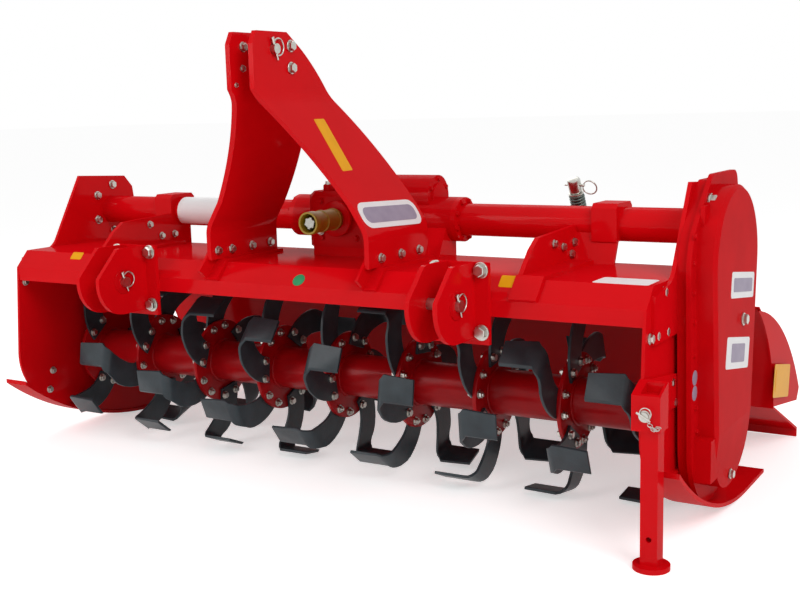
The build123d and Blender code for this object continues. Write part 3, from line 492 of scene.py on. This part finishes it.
right_blade = make_blade()
left_blade = repeat(right_blade, [Matrix.Scale(-1, 4, (1, 0, 0))])
activate(left_blade)
bpy.ops.object.mode_set(mode="EDIT")
face_outwards()
bpy.ops.object.mode_set(mode="OBJECT")

# %% [markdown]
# The rotor is a drum with nine flanges. Each carries six blades, three to a side, and each next
# flange is turned 15 degrees, so that the blades meet the soil one after the other. The end
# flanges carry only the blades that point inwards. Two bolts hold each blade: heads on the
# blade, nuts on the flange's other face. Each flange's blades are one piece, which stands in
# for the plainer blades of the frame.

# %% Blades on their flanges
flange_count, flange_pitch, flange_half = 9, 0.240, 0.006
blades_per_flange, first_turn, next_flange_turn = 6, 6, 15
bolt_radius, bolt_turn, bolt_size = 0.110, 14.0, 0.95
flange_xs = [(i - (flange_count - 1) / 2) * flange_pitch for i in range(flange_count)]
blade_count, bolt_places, nut_places = 0, [], []
for i, x in enumerate(flange_xs):
    hands = {1: [], -1: []}
    for k in range(blades_per_flange):
        hand = 1 if k % 2 == 0 else -1
        if (i == 0 and hand < 0) or (i == flange_count - 1 and hand > 0):
            continue
        base_turn = radians(first_turn + next_flange_turn * i + 360 / blades_per_flange * k)
        hands[hand].append(Matrix.Translation((x + hand * flange_half, 0, axle_z))
                           @ Matrix.Rotation(base_turn, 4, "X"))
        for offset in (-bolt_turn, bolt_turn):
            turn = base_turn + shank_turn(bolt_radius) + radians(offset)
            y, z = -bolt_radius * sin(turn), axle_z + bolt_radius * cos(turn)
            head_x, nut_x = x + hand * (flange_half + blade_thickness), x - hand * flange_half
            bolt_places.append(facing((head_x, y, z), (hand, 0, 0), bolt_size))
            nut_places.append(facing((nut_x, y, z), (-hand, 0, 0), bolt_size))
    sides = [repeat(blade, hands[hand])
             for blade, hand in ((right_blade, 1), (left_blade, -1)) if hands[hand]]
    ring = dress(join(sides), f"forged_blades_{i + 1}", blade_steel, "rotor")
    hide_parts(f"blades_{i + 1}")
    blade_count += len(hands[1]) + len(hands[-1])
dress(repeat(bolt, bolt_places), "blade_bolts", zinc, "rotor")
dress(repeat(nut, nut_places), "blade_nuts", zinc, "rotor")
for pattern in (right_blade, left_blade):
    bpy.data.objects.remove(pattern)
print("blades:", blade_count, "blade bolts:", len(bolt_places))

# %% [markdown]
# The drum and its flanges are turned round, so they take the place of the frame's many-sided
# ones. A fillet weld runs round the drum at each side of each flange, a bead about 8 mm wide.
# It is a torus half sunk in the corner, with every other cross loop swollen a little, because
# the ripples of a hand-laid bead show as fine glints.

# %% Drum, flanges and welds
drum_radius, drum_from, drum_to = 0.062, -0.989, 1.006
axle_radius, axle_from, axle_to = 0.025, -1.019, 1.053
flange_radius = 0.127
weld_loops, weld_radius, weld_swell = 48, 0.0045, 0.0005


def round_bar(radius, length, edge, sides, location, rotation=(0, 0, 0)):
    """A round bar whose end edges are eased by a bevel."""
    bar = start("cylinder", vertices=sides, radius=radius, depth=length,
                location=location, rotation=rotation)
    pick(bar, along_z)
    bpy.ops.mesh.bevel(offset=edge, segments=2, affect="EDGES")
    return close_mesh(bar, 30)


def rotor_bar(radius, x_from, x_to, edge, sides=72):
    """A round bar on the rotor's axis."""
    return round_bar(radius, x_to - x_from, edge, sides, ((x_from + x_to) / 2, 0, axle_z), along_x)


def make_weld(x):
    """A rippled bead round the drum."""
    weld = start("torus", major_radius=drum_radius + 0.0005, minor_radius=weld_radius,
                 major_segments=weld_loops, minor_segments=8,
                 location=(x, 0, axle_z), rotation=along_x)
    pick(weld, lambda middle, way: abs(atan2(middle.y, middle.x) * weld_loops / pi % 2 - 1) < 0.5,
         "EDGE")
    bpy.ops.transform.shrink_fatten(value=weld_swell)
    return close_mesh(weld, 60)


turned = [rotor_bar(drum_radius, drum_from, drum_to, 0.002),
          rotor_bar(axle_radius, axle_from, axle_to, 0.001, 32)]
for x in flange_xs:
    turned.append(rotor_bar(flange_radius, x - flange_half, x + flange_half, 0.0015))
    turned += [make_weld(x + side * (flange_half + 0.001)) for side in (-1, 1)]
rotor = dress(join(turned), "turned_rotor", red_rotor, "rotor")
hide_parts("rotor")
print("rotor faces:", len(rotor.data.polygons))

# %% [markdown]
# The input shaft takes the tractor's drive through six splines, hobbed from the solid bar. Here
# the bar has the diameter of their roots and 36 sides, and every other three of these are drawn
# outwards together to the full diameter, which leaves the splines' flanks crisp. The front
# face is inset and drawn forwards, as the turned chamfer that guides the yoke on.

# %% Input shaft
input_x, input_z = 0.031, 0.728
shaft_front, shaft_back = -0.210, -0.0825
root_radius, spline_height, end_chamfer = 0.0148, 0.0026, 0.0015


def on_spline(middle, normal):
    """A test for pick: a side of the bar in every other 30 degrees."""
    return abs(normal.z) < 0.5 and int(degrees(atan2(middle.y, middle.x)) % 60 // 30) == 0


def make_shaft():
    """The splined input shaft along Y."""
    shaft = start("cylinder", vertices=36, radius=root_radius, depth=shaft_back - shaft_front,
                  location=(input_x, (shaft_front + shaft_back) / 2, input_z), rotation=along_y)
    pick(shaft, on_spline)
    extrude_outwards(spline_height)
    pick(shaft, looks_up)
    bpy.ops.mesh.inset(thickness=end_chamfer)
    bpy.ops.transform.translate(value=(0, -end_chamfer, 0))
    return close_mesh(shaft, 30)


shaft = dress(make_shaft(), "splined_shaft", turned_steel, "input_shaft")
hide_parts("pto_shaft")
print("shaft faces:", len(shaft.data.polygons))

# %% [markdown]
# The guard is a moulded plastic sleeve that keeps hands off the turning shaft. It starts as an
# open tube, is cut into bands and gets its 3 mm wall. The front band is raised as a lip and two
# narrow ones as stiffening ribs, and then all edges are rounded, since a mould leaves none sharp.

# %% Input guard
guard_front, guard_back, guard_radius, guard_wall = -0.218, -0.082, 0.0255, 0.003
band_edges = (-0.190, -0.184, -0.160, -0.154, -0.104, -0.098)
raised_bands = ((guard_front, -0.190), (-0.160, -0.154), (-0.104, -0.098))
rib_height = 0.0025


def on_raised_band(middle, normal):
    """A test for pick: an outer face of the sleeve in a raised band."""
    outside = hypot(middle.x - input_x, middle.z - input_z) > guard_radius + guard_wall - 0.001
    return outside and abs(normal.y) < 0.3 and any(low < middle.y < high for low, high in raised_bands)


def make_guard():
    """The ribbed sleeve round the input shaft."""
    guard = start("cylinder", vertices=64, radius=guard_radius, depth=guard_back - guard_front,
                  end_fill_type="NOTHING", rotation=along_y,
                  location=(input_x, (guard_front + guard_back) / 2, input_z))
    for edge_y in band_edges:
        bpy.ops.mesh.select_all(action="SELECT")
        bpy.ops.mesh.bisect(plane_co=(input_x, edge_y, input_z), plane_no=rear)
    apply_modifier(guard, "SOLIDIFY", thickness=guard_wall, offset=1)
    bpy.ops.object.transform_apply(location=True, rotation=True, scale=True)
    bpy.ops.object.mode_set(mode="EDIT")
    raised = pick(guard, on_raised_band)
    extrude_outwards(rib_height)
    ease_edges(guard, 0.0007, 2)
    print("raised guard faces:", raised)
    return close_mesh(guard, 40)


guard = dress(make_guard(), "moulded_input_guard", guard_plastic)
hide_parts("pto_guard")

# %% [markdown]
# Painted-over bolts hold the cast pieces: a ring round each tube flange, the cover of the
# change wheels, the corners of the gearbox's front, the left bearing plate and the rim of the
# gear case. They share the bright bolts' pattern and were sprayed with the castings.

# %% Painted bolts
tube_center = (0.090, 0.718)
tube_flanges = ((-0.216, left), (0.348, right))
wheel_cover = (0.258, 0.100, 0.780)
rim_mm = 1068


def ring_about_x(count, radius, center, first):
    """Evenly spaced points on a circle about an axis along X, the first at an angle."""
    turns = [radians(first) + 2 * pi * i / count for i in range(count)]
    return [(center[0], center[1] + radius * cos(t), center[2] + radius * sin(t)) for t in turns]


painted = [facing(point, way, 0.62) for x, way in tube_flanges
           for point in ring_about_x(8, 0.0535, (x, *tube_center), 22.5)]
painted += [facing(point, right, 0.55) for point in ring_about_x(6, 0.050, wheel_cover, 30)]
painted += [facing((input_x + dx, -0.070, input_z + dz), front, 0.7)
            for dx in (-0.058, 0.058) for dz in (-0.055, 0.048)]
painted += [facing((-1.015, dy, axle_z + dz), left, 0.9)
            for dy in (-0.058, 0.058) for dz in (-0.058, 0.058)]
rim_bolts = (
    # y, z on the rim's ledge
    (-113, 250), (-121, 310), (-137, 440), (-140, 520), (-148, 590), (-152, 660), (-146, 720),
    (-110, 205),
)
painted += [facing(mm(rim_mm, y, z), right, 0.6) for y, z in rim_bolts]
dress(repeat(bolt, painted), "painted_bolts", red_cast)
print("painted bolts:", len(painted))

# %% [markdown]
# The gearbox carries a cover plate with a breather on top, a cast disc on the change-wheel
# housing and another round the input. The gear case has a small lid on its rim, and the cheeks
# of the lower hitch have bosses round their pins: all low discs, or plates with rounded
# corners. The plugs are turned steel with a hexagon, so the bolt's pattern serves for them.


# %% Covers and plugs
def disc_on(place, direction, radius, height, edge, sides=48):
    """A low round boss with an eased edge, upright on a face."""
    disc = start("cylinder", vertices=sides, radius=radius, depth=height, location=(0, 0, height / 2))
    pick(disc, looks_up)
    bpy.ops.mesh.bevel(offset=edge, segments=3, affect="EDGES")
    close_mesh(disc, 30)
    disc.data.transform(facing(place, direction))
    return disc


def plate_on(place, direction, width, length, height, corner, turn=0.0):
    """A flat plate with rounded corners, upright on a face."""
    plate = start("cube", size=1, location=(0, 0, height / 2))
    bpy.ops.transform.resize(value=(width, length, height))
    pick(plate, along_z, "EDGE")
    bpy.ops.mesh.bevel(offset=corner, segments=5, affect="EDGES")
    pick(plate, looks_up)
    bpy.ops.mesh.bevel(offset=min(height, 0.002) / 3, segments=1, affect="EDGES")
    close_mesh(plate, 30)
    plate.data.transform(facing(place, direction, turn=radians(turn)))
    return plate


case_mm, hitch_y, hitch_z, cheek_half = 1116, -433, 574, 43
box_top, lid_y, lid_height = 0.802, 0.050, 0.008
breather_x, breather_y, breather_height = -0.026, -0.030, 0.018
covers = [plate_on((input_x, lid_y, box_top), up, 0.130, 0.150, lid_height, 0.018),
          disc_on(wheel_cover, right, 0.038, 0.006, 0.002),
          disc_on((breather_x, breather_y, box_top), up, 0.016, breather_height, 0.004, 32),
          disc_on((input_x, -0.080, input_z), front, 0.050, 0.008, 0.002),
          plate_on(mm(rim_mm, -75, 757), right, 0.052, 0.060, 0.010, 0.010)]
covers += [disc_on(mm(x + cheek_half, hitch_y, hitch_z), right, 0.034, 0.003, 0.0012)
           for x in lower_pins]
dress(join(covers), "cast_covers", red_cast)
lid_bolts = [facing((input_x + dx, lid_y + dy, box_top + lid_height), up, 0.55)
             for dx in (-0.052, 0.052) for dy in (-0.062, 0.062)]
dress(repeat(bolt, lid_bolts), "lid_bolts", red_cast)
plugs = [facing(mm(rim_mm + 1, -30, 790), right, 1.6),  # filler
         facing(mm(case_mm, 107, 488), right, 1.25),  # level
         facing(mm(-30, -71, 690), front, 0.9),  # the gearbox's level
         facing(mm(1105, 58, 100), right, 1.0),  # drain
         facing((breather_x, breather_y, box_top + breather_height), up, 0.9)]
dress(repeat(bolt, plugs), "oil_plugs", zinc)
print("covers:", len(covers), "lid bolts:", len(lid_bolts), "plugs:", len(plugs))

# %% [markdown]
# Every pin of the hitch is a turned bar with a head at one end and a linch pin through the
# other: a spring-steel ring that snaps over the bar. The ring starts as a torus, drawn in where
# its wire enters the stem, and the stem is a small round pin with a tapered point. Both are
# made once at the origin and copied to the pins' ends.


# %% Pin heads and linch pins
def make_ring():
    """The linch pin's ring, in the plane of X and Z, its hinge near the origin."""
    loop = start("torus", major_radius=0.021, minor_radius=0.0021, major_segments=40,
                 minor_segments=10, location=(0.014, 0, 0), rotation=along_y)
    pick(loop, lambda middle, way: middle.x < -0.012, "EDGE")
    bpy.ops.transform.resize(value=(0.7, 1, 1), center_override=(0.002, 0, 0))
    return close_mesh(loop, 60)


def make_stem():
    """The linch pin's tapered stem along Z."""
    stem = start("cylinder", vertices=20, radius=0.0045, depth=0.058, location=(0, 0, 0))
    pick(stem, lambda middle, normal: normal.z < -0.9)
    bpy.ops.transform.resize(value=(0.45, 0.45, 1))
    pick(stem, looks_up)
    inset_and_lift(inset=0.0012, lift=0.001)
    return close_mesh(stem, 40)


def make_pin_head(radius):
    """The pin's collar and turned head, upright at the origin."""
    collar_height, rise = 0.006, 0.005
    head = start("cylinder", vertices=40, radius=radius * 1.35, depth=collar_height,
                 location=(0, 0, collar_height / 2))
    pick(head, looks_up)
    bpy.ops.mesh.inset(thickness=radius * 0.3)
    extrude_by((0, 0, rise))
    bpy.ops.mesh.bevel(offset=0.0012, segments=2, affect="EDGES")
    return close_mesh(head, 30)


snap_ring, stem, head = make_ring(), make_stem(), make_pin_head(radius=0.0142)
linch = join([repeat(snap_ring, [Matrix.Identity(4)]), repeat(stem, [Matrix.Identity(4)])])
linch_offset, top_linch_offset, top_y, top_z = 51, 50, -395, 1183
pin_ends = [(x, linch_offset, hitch_y, hitch_z, 1.0) for x in lower_pins]
pin_ends.append((hitch_middle, top_linch_offset, top_y, top_z, 0.9))
heads = [facing(mm(x - cheek_half, y, z), left, size) for x, _, y, z, size in pin_ends]
rings = [Matrix.Translation(mm(x + offset, y, z)) @ Matrix.Rotation(radians(20), 4, "X")
         @ Matrix.Rotation(pi / 2, 4, "Z") for x, offset, y, z, _ in pin_ends]
dress(join([repeat(head, heads), repeat(linch, rings)]), "pin_heads_and_linch_pins", zinc)
print("pins with a head and a linch pin:", len(pin_ends))

# %% [markdown]
# The stand's leg is held at its height by a bolt-like pin through sleeve and leg, on a short
# chain so that it is not lost. A chain link is a torus drawn long, and each next link is turned
# a quarter, as links have to be to pass through each other. The chain sags from the pin.

# %% Stand pin and chain
stand_x, stand_y, sleeve_front = 1.053, -0.380, -0.4064
pin_x, pin_z = 1.045, 0.356
link_count, link_stretch = 8, 0.003
chain_start, chain_run, chain_sag, chain_drop = 0.004, 0.026, 0.022, 0.002
stand_pin = repeat(head, [facing((pin_x, sleeve_front, pin_z), front, 0.7)])
pull = repeat(linch, [Matrix.Translation((pin_x, sleeve_front - 0.010, pin_z))
                      @ Matrix.Rotation(radians(-62), 4, "Y") @ Matrix.Scale(0.62, 4)])
chain_links = []
for i in range(link_count):
    link = start("torus", major_radius=0.0040, minor_radius=0.0009,
                 major_segments=16, minor_segments=8)
    pick(link, lambda middle, way: middle.x > 0, "EDGE")
    bpy.ops.transform.translate(value=(link_stretch, 0, 0))
    close_mesh(link, 60)
    share = i / (link_count - 1)
    x = pin_x + chain_start + chain_run * share
    z = pin_z - chain_start - chain_sag * sin(pi * share * 0.75) - chain_drop * share
    link.data.transform(Matrix.Translation((x, sleeve_front - 0.003, z))
                        @ Matrix.Rotation(pi / 4 * (1 - share), 4, "Y")
                        @ Matrix.Rotation(radians(45 + 90 * (i % 2)), 4, "X"))
    chain_links.append(link)
dress(join([stand_pin, pull] + chain_links), "stand_pin_and_chain", zinc)
print("chain links:", len(chain_links))

# %% [markdown]
# The leg has a hole for the pin near its foot. A boolean with a round bar drills it through a
# copy of the solid, since the solid itself is never changed. The copy's stored normals are
# cleared and its vertices merged first, so that the faces round the hole shade flat. The paint
# has drawn a small raised rim round each mouth of the hole.

# %% Drilled leg
leg_hole_z, leg_hole_radius, leg_half = 0.073, 0.0065, 0.020


def drill_leg(height, radius):
    """A copy of the leg, its vertices merged, with a hole drilled through it along Y."""
    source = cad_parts["stand_leg"]
    leg = source.copy()
    leg.data = source.data.copy()
    bpy.context.collection.objects.link(leg)
    activate(leg)
    bpy.ops.mesh.customdata_custom_splitnormals_clear()
    bpy.ops.object.mode_set(mode="EDIT")
    bpy.ops.mesh.select_all(action="SELECT")
    bpy.ops.mesh.remove_doubles(threshold=0.00001)
    bpy.ops.object.mode_set(mode="OBJECT")
    drill = start("cylinder", vertices=28, radius=radius, depth=3 * leg_half,
                  location=(stand_x, stand_y, height), rotation=along_y)
    bpy.ops.object.mode_set(mode="OBJECT")
    apply_modifier(leg, "BOOLEAN", operation="DIFFERENCE", solver="EXACT", object=drill)
    bpy.data.objects.remove(drill)
    return close_mesh(leg, 30)


def make_rim(y, way):
    """The raised rim of paint round a mouth of the hole."""
    rim = start("torus", major_radius=leg_hole_radius + 0.0006, minor_radius=0.0007,
                major_segments=28, minor_segments=8)
    pick(rim, lambda middle, way: middle.z < 0, "EDGE")
    bpy.ops.transform.translate(value=(0, 0, 0.0003))
    close_mesh(rim, 60)
    rim.data.transform(facing((stand_x, y, leg_hole_z), way))
    return rim


leg = dress(drill_leg(leg_hole_z, leg_hole_radius), "drilled_stand_leg", red_enamel, "stand")
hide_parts("stand_leg")
hole_rims = [make_rim(stand_y - leg_half, front), make_rim(stand_y + leg_half, rear)]
dress(join(hole_rims), "leg_hole_rims", red_enamel, "stand")
print("leg faces:", len(leg.data.polygons))

# %% [markdown]
# Each adjuster is a rod on a pin of the rear board. It slides through its guide behind the
# hood, and above the guide it carries a compression spring between two washers, a turned cap
# and a cross pin. The spring is a coil, so a screw modifier winds a small circle upwards.


# %% Spring pattern
def make_spring(radius, wire, height, turns):
    """A coil spring, upright at the origin."""
    spring = start("circle", vertices=10, radius=wire, location=(radius, 0, wire), rotation=along_y)
    bpy.ops.transform.resize(value=(1, 1, 0.98))
    bpy.ops.object.mode_set(mode="OBJECT")
    bpy.ops.object.transform_apply(location=True, rotation=True, scale=True)
    apply_modifier(spring, "SCREW", axis="Z", screw_offset=(height - 2 * wire) / turns,
                   iterations=turns, steps=28, render_steps=28, use_merge_vertices=False)
    bpy.ops.object.mode_set(mode="EDIT")
    bpy.ops.mesh.select_all(action="DESELECT")
    bpy.ops.mesh.select_mode(type="EDGE")
    bpy.ops.mesh.select_non_manifold()
    bpy.ops.mesh.edge_face_add()
    face_outwards()
    return close_mesh(spring, 60)


foot, guide = Vector((0, 0.483, 0.370)), Vector((0, 0.319, 0.700))
rod_lean = atan2(foot.y - guide.y, guide.z - foot.z)
guide_along = (guide - foot).length
spring_from, spring_to = guide_along + 0.0055, guide_along + 0.0933
end_washer, coil_radius, wire_radius, coil_turns = 0.003, 0.0185, 0.0036, 8
coil_height = spring_to - spring_from - 2 * end_washer
spring_pattern = make_spring(coil_radius, wire_radius, coil_height, coil_turns)
spring_pattern.data.transform(Matrix.Translation((0, 0, spring_from + end_washer)))
print("rod leans", round(degrees(rod_lean), 1), "degrees, guide at", round(guide_along, 4))

# %% [markdown]
# The rod is turned from bar. It is made upright with its eye's pin at the origin, where each
# length is a plain distance along it, and it leans only in its place.

# %% Rod pattern
rod_radius, end_washer_radius, cap_radius, eye_radius = 0.012, 0.0225, 0.0185, 0.022
cap_to = spring_to + 0.042
cross_at = cap_to - 0.020


def rod_bar(radius, low, high, edge, sides=32):
    """A round bar between two distances along the upright rod."""
    return round_bar(radius, high - low, edge, sides, (0, 0, (low + high) / 2))


def make_eye():
    """The rod's flat eye, its pin's axis along X at the origin."""
    eye = start("cylinder", vertices=40, radius=eye_radius, depth=0.024, rotation=along_x)
    pick(eye, along_z)
    bpy.ops.mesh.inset(thickness=0.010)
    extrude_outwards(-0.002)
    return close_mesh(eye, 30)


rod_pattern = join([
    make_eye(),
    rod_bar(rod_radius, 0.015, spring_from + 0.001, 0.001),
    rod_bar(end_washer_radius, spring_from, spring_from + end_washer, 0.0008, 40),
    rod_bar(end_washer_radius, spring_to - end_washer, spring_to, 0.0008, 40),
    rod_bar(rod_radius, spring_from + end_washer, spring_to - end_washer, 0.001),
    rod_bar(cap_radius, spring_to, cap_to, 0.005, 40),
])
print("rod length:", round(cap_to, 4), "faces:", len(rod_pattern.data.polygons))

# %% [markdown]
# Both rods lean alike. Rod and spring swing on the board's pin, whose bolts ride on the board.

# %% Adjusters in their places
pivot_half, pivot_size = 0.023, 1.2
cross = Matrix.Translation((0, 0, cross_at)) @ Matrix.Rotation(pi / 2, 4, "Y")
hanging = Matrix.Translation((0.031, 0, cross_at)) @ Matrix.Rotation(radians(28), 4, "Y")
for side, x in (("left", -0.600), ("right", 0.600)):
    leaning = Matrix.Translation((x, foot.y, foot.z)) @ Matrix.Rotation(rod_lean, 4, "X")
    rod = join([repeat(rod_pattern, [leaning]), repeat(stem, [leaning @ cross]),
                repeat(snap_ring, [leaning @ hanging])])
    dress(rod, f"adjuster_rod_{side}", zinc, "adjusters")
    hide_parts(f"adjuster_{side}")
    spring = repeat(spring_pattern, [leaning])
    dress(spring, f"adjuster_spring_{side}", spring_steel, "adjusters")
    pivot = [facing((x + dx, foot.y, foot.z), way, pivot_size)
             for dx, way in ((-pivot_half, left), (pivot_half, right))]
    dress(repeat(bolt, pivot), f"adjuster_pivot_{side}", zinc, "board")
for pattern in (bolt, nut, rod_pattern, spring_pattern, linch, snap_ring, stem, head):
    bpy.data.objects.remove(pattern)

# %% [markdown]
# Small vinyl plates sit on the mast, the deck, the tube, the gear case and the board's end
# plate. They are blank here. Each is a thin film with rounded corners, laid on the paint, and
# the larger ones have a second field inside a rim. They are modelled, because a film has a
# sheen of its own and an edge that catches the light.

# %% Blank plates
film = 0.0008
mast_lean = radians(32.64)
mast_face = (cos(mast_lean), 0, sin(mast_lean))
bevel_face = (0, -0.7295, 0.684)
case_field, deck_mm = case_mm + 0.8, 622
plates = {
    "white_blank_plates": (white_film, "frame", [
        plate_on(mm(case_mm, 100, 575), right, 0.205, 0.064, film, 0.008, -7.5),
        plate_on(mm(case_mm, 66, 410), right, 0.205, 0.078, film, 0.008, -10),
        plate_on(mm(938, -238, deck_mm), up, 0.135, 0.085, film, 0.008),
        plate_on(mm(271, -181, 757.5), mast_face, 0.272, 0.076, film, 0.030, -3)]),
    "lilac_blank_plates": (lilac_film, "frame", [
        plate_on(mm(case_field, 100, 575), right, 0.168, 0.034, film, 0.005, -7.5),
        plate_on(mm(case_field, 66, 410), right, 0.120, 0.046, film, 0.005, -10),
        plate_on(mm(271.7, -181, 757.9), mast_face, 0.240, 0.046, film, 0.020, -3),
        disc_on(mm(rim_mm, -127, 383), right, 0.018, film, 0.0002),
        disc_on(mm(rim_mm, -127, 346), right, 0.018, film, 0.0002)]),
    "yellow_blank_plates": (yellow_film, "frame", [
        plate_on(mm(154, -263, 940), mast_face, 0.046, 0.158, film, 0.004),
        plate_on(mm(-777, -292, 614.5), bevel_face, 0.044, 0.026, film, 0.004),
        plate_on(mm(665, -292, 614.5), bevel_face, 0.044, 0.034, film, 0.004)]),
    "green_blank_dot": (green_film, "frame", [
        disc_on(mm(65, -316, 588.9), bevel_face, 0.018, film, 0.0002)]),
    "yellow_board_plate": (yellow_film, "board", [
        plate_on(mm(1114, 543, 235), right, 0.185, 0.094, film, 0.008, -11.5),
        plate_on(mm(1114.8, 543, 235), right, 0.150, 0.062, film, 0.005, -11.5)]),
}
for name, (finish, body, pieces) in plates.items():
    print(name, len(pieces))
    dress(join(pieces), name, finish, body)

# %% [markdown]
# One more film goes round the front of the left cross tube. It is a slice of an open tube just
# larger than the cross tube, cut away behind by a slanting plane, and given the film's wall.

# %% Tube band
band_x, band_width, band_radius, band_wall = -0.5895, 0.163, 0.0447, 0.0006


def make_tube_band():
    """A film wrapped round the front of the left cross tube."""
    band = start("cylinder", vertices=72, radius=band_radius, depth=band_width,
                 end_fill_type="NOTHING", location=(band_x, *tube_center), rotation=along_x)
    bpy.ops.mesh.select_all(action="SELECT")
    bpy.ops.mesh.bisect(plane_co=(band_x, *tube_center), plane_no=(0, 0.8, -0.6), clear_outer=True)
    apply_modifier(band, "SOLIDIFY", thickness=band_wall, offset=1)
    return close_mesh(band, 30)


band = dress(make_tube_band(), "tube_blank_band", white_film)
print("band faces:", len(band.data.polygons))

# %% [markdown]
# The studio floor is matt white paper that runs on far behind the tiller, so that only the soft
# shadow shows where it lies. The paper glows a little for the rays that the camera sees,
# directly or in a mirror, which lifts it to the background's white. For all other rays it is
# plain paper: the shadow stays, and no glow lights the red from below.


# %% Floor
def seen_rays(tree):
    """1 for the camera's own rays and for those that metal or glass sends on, else 0."""
    path = add_node(tree, "ShaderNodeLightPath")
    mirrored = add_node(tree, "ShaderNodeMath", operation="ADD",
                        links={0: path.outputs["Is Camera Ray"], 1: path.outputs["Is Glossy Ray"]})
    seen = add_node(tree, "ShaderNodeMath", operation="ADD", use_clamp=True,
                    links={0: mirrored.outputs[0], 1: path.outputs["Is Transmission Ray"]})
    return seen.outputs[0]


floor_size, floor_glow = 160.0, 0.5
bpy.ops.mesh.primitive_plane_add(size=floor_size, location=(0, 0, 0))
floor = bpy.context.object
floor.name = "studio_floor"
paper = bpy.data.materials.new("pale_matt_studio_floor")
paper.use_nodes = True
tree = paper.node_tree
tree.nodes.clear()
glow = add_node(tree, "ShaderNodeMath", {0: seen_rays(tree)}, {1: floor_glow}, operation="MULTIPLY")
sheet = add_node(tree, "ShaderNodeBsdfPrincipled", {"Emission Strength": glow.outputs[0]},
                 {"Base Color": linear("#FAFAFA"), "Roughness": 0.95,
                  "Emission Color": linear("#FFFFFF"), "Specular IOR Level": 0.0})
add_node(tree, "ShaderNodeOutputMaterial", {"Surface": sheet.outputs["BSDF"]})
floor.data.materials.append(paper)
print("floor:", floor_size, "m across")

# %% [markdown]
# The world is the white room round the floor. It is pure white where the camera sees it, also
# in a mirror or through glass, and at half strength as a light, because a fully white room
# would fill every shadow and flatten the plates.

# %% World
soft_strength, white_strength = 0.5, 1.0
world = bpy.data.worlds.new("studio_world")
bpy.context.scene.world = world
world.use_nodes = True
tree = world.node_tree
tree.nodes.clear()
soft, white = [add_node(tree, "ShaderNodeBackground",
                        inputs={"Color": linear("#FFFFFF"), "Strength": strength})
               for strength in (soft_strength, white_strength)]
mixed = add_node(tree, "ShaderNodeMixShader",
                 links={0: seen_rays(tree), 1: soft.outputs[0], 2: white.outputs[0]})
add_node(tree, "ShaderNodeOutputWorld", {"Surface": mixed.outputs[0]})
print("world strengths:", soft_strength, white_strength)

# %% [markdown]
# Three square lamps model the form. The key stands high at the right and brightens the gear
# case and the mast's right side, the fill opens the shadows of the front from the left, and the
# back lamp draws a bright line along the upper edges. They are wide, so their shadows are soft.


# %% Lamps
def add_lamp(name, place, aim, size, watts):
    """A soft square lamp that looks at a point."""
    bpy.ops.object.light_add(type="AREA", location=place)
    lamp = bpy.context.object
    lamp.name = name
    lamp.data.size = size
    lamp.data.energy = watts
    lamp.rotation_euler = (Vector(aim) - Vector(place)).to_track_quat("-Z", "Y").to_euler()
    print(name, "of", watts, "W at", place)


add_lamp("key_lamp", place=(3.6, -2.2, 3.4), aim=(0, 0, 0.5), size=2.0, watts=80)
add_lamp("fill_lamp", place=(-2.6, -3.6, 2.4), aim=(0, 0, 0.6), size=2.5, watts=60)
add_lamp("back_lamp", place=(-2.2, 3.0, 3.6), aim=(0, 0, 0.6), size=3.0, watts=45)

# %% [markdown]
# The camera stands where the photographer stood: right of the tiller's front and a little above
# the hood. Its place, angles and lens come from a fit to points of known size in the photo. The
# view transform is Standard, which keeps the hex colours and the white as they are.

# %% Camera
photo_width, focal_px, sensor_mm = 800, 1163.77, 36.0
azimuth, pitch, roll = radians(31.42), radians(9.44), radians(-1.58)
bpy.ops.object.camera_add(location=(1.873, -2.767, 1.033))
camera = bpy.context.object
camera.name = "photo_camera"
aim = Vector((-sin(azimuth) * cos(pitch), cos(azimuth) * cos(pitch), -sin(pitch)))
level = Vector((cos(azimuth), sin(azimuth), 0))
upright = level.cross(aim)
across = cos(roll) * level + sin(roll) * upright
upward = -sin(roll) * level + cos(roll) * upright
turned = Matrix((across, upward, -aim)).transposed().to_4x4()
camera.matrix_world = Matrix.Translation(camera.location) @ turned
camera.data.sensor_width = sensor_mm
camera.data.lens = sensor_mm * focal_px / photo_width
bpy.context.scene.camera = camera
bpy.context.scene.view_settings.view_transform = "Standard"
print("lens:", round(camera.data.lens, 2), "mm")
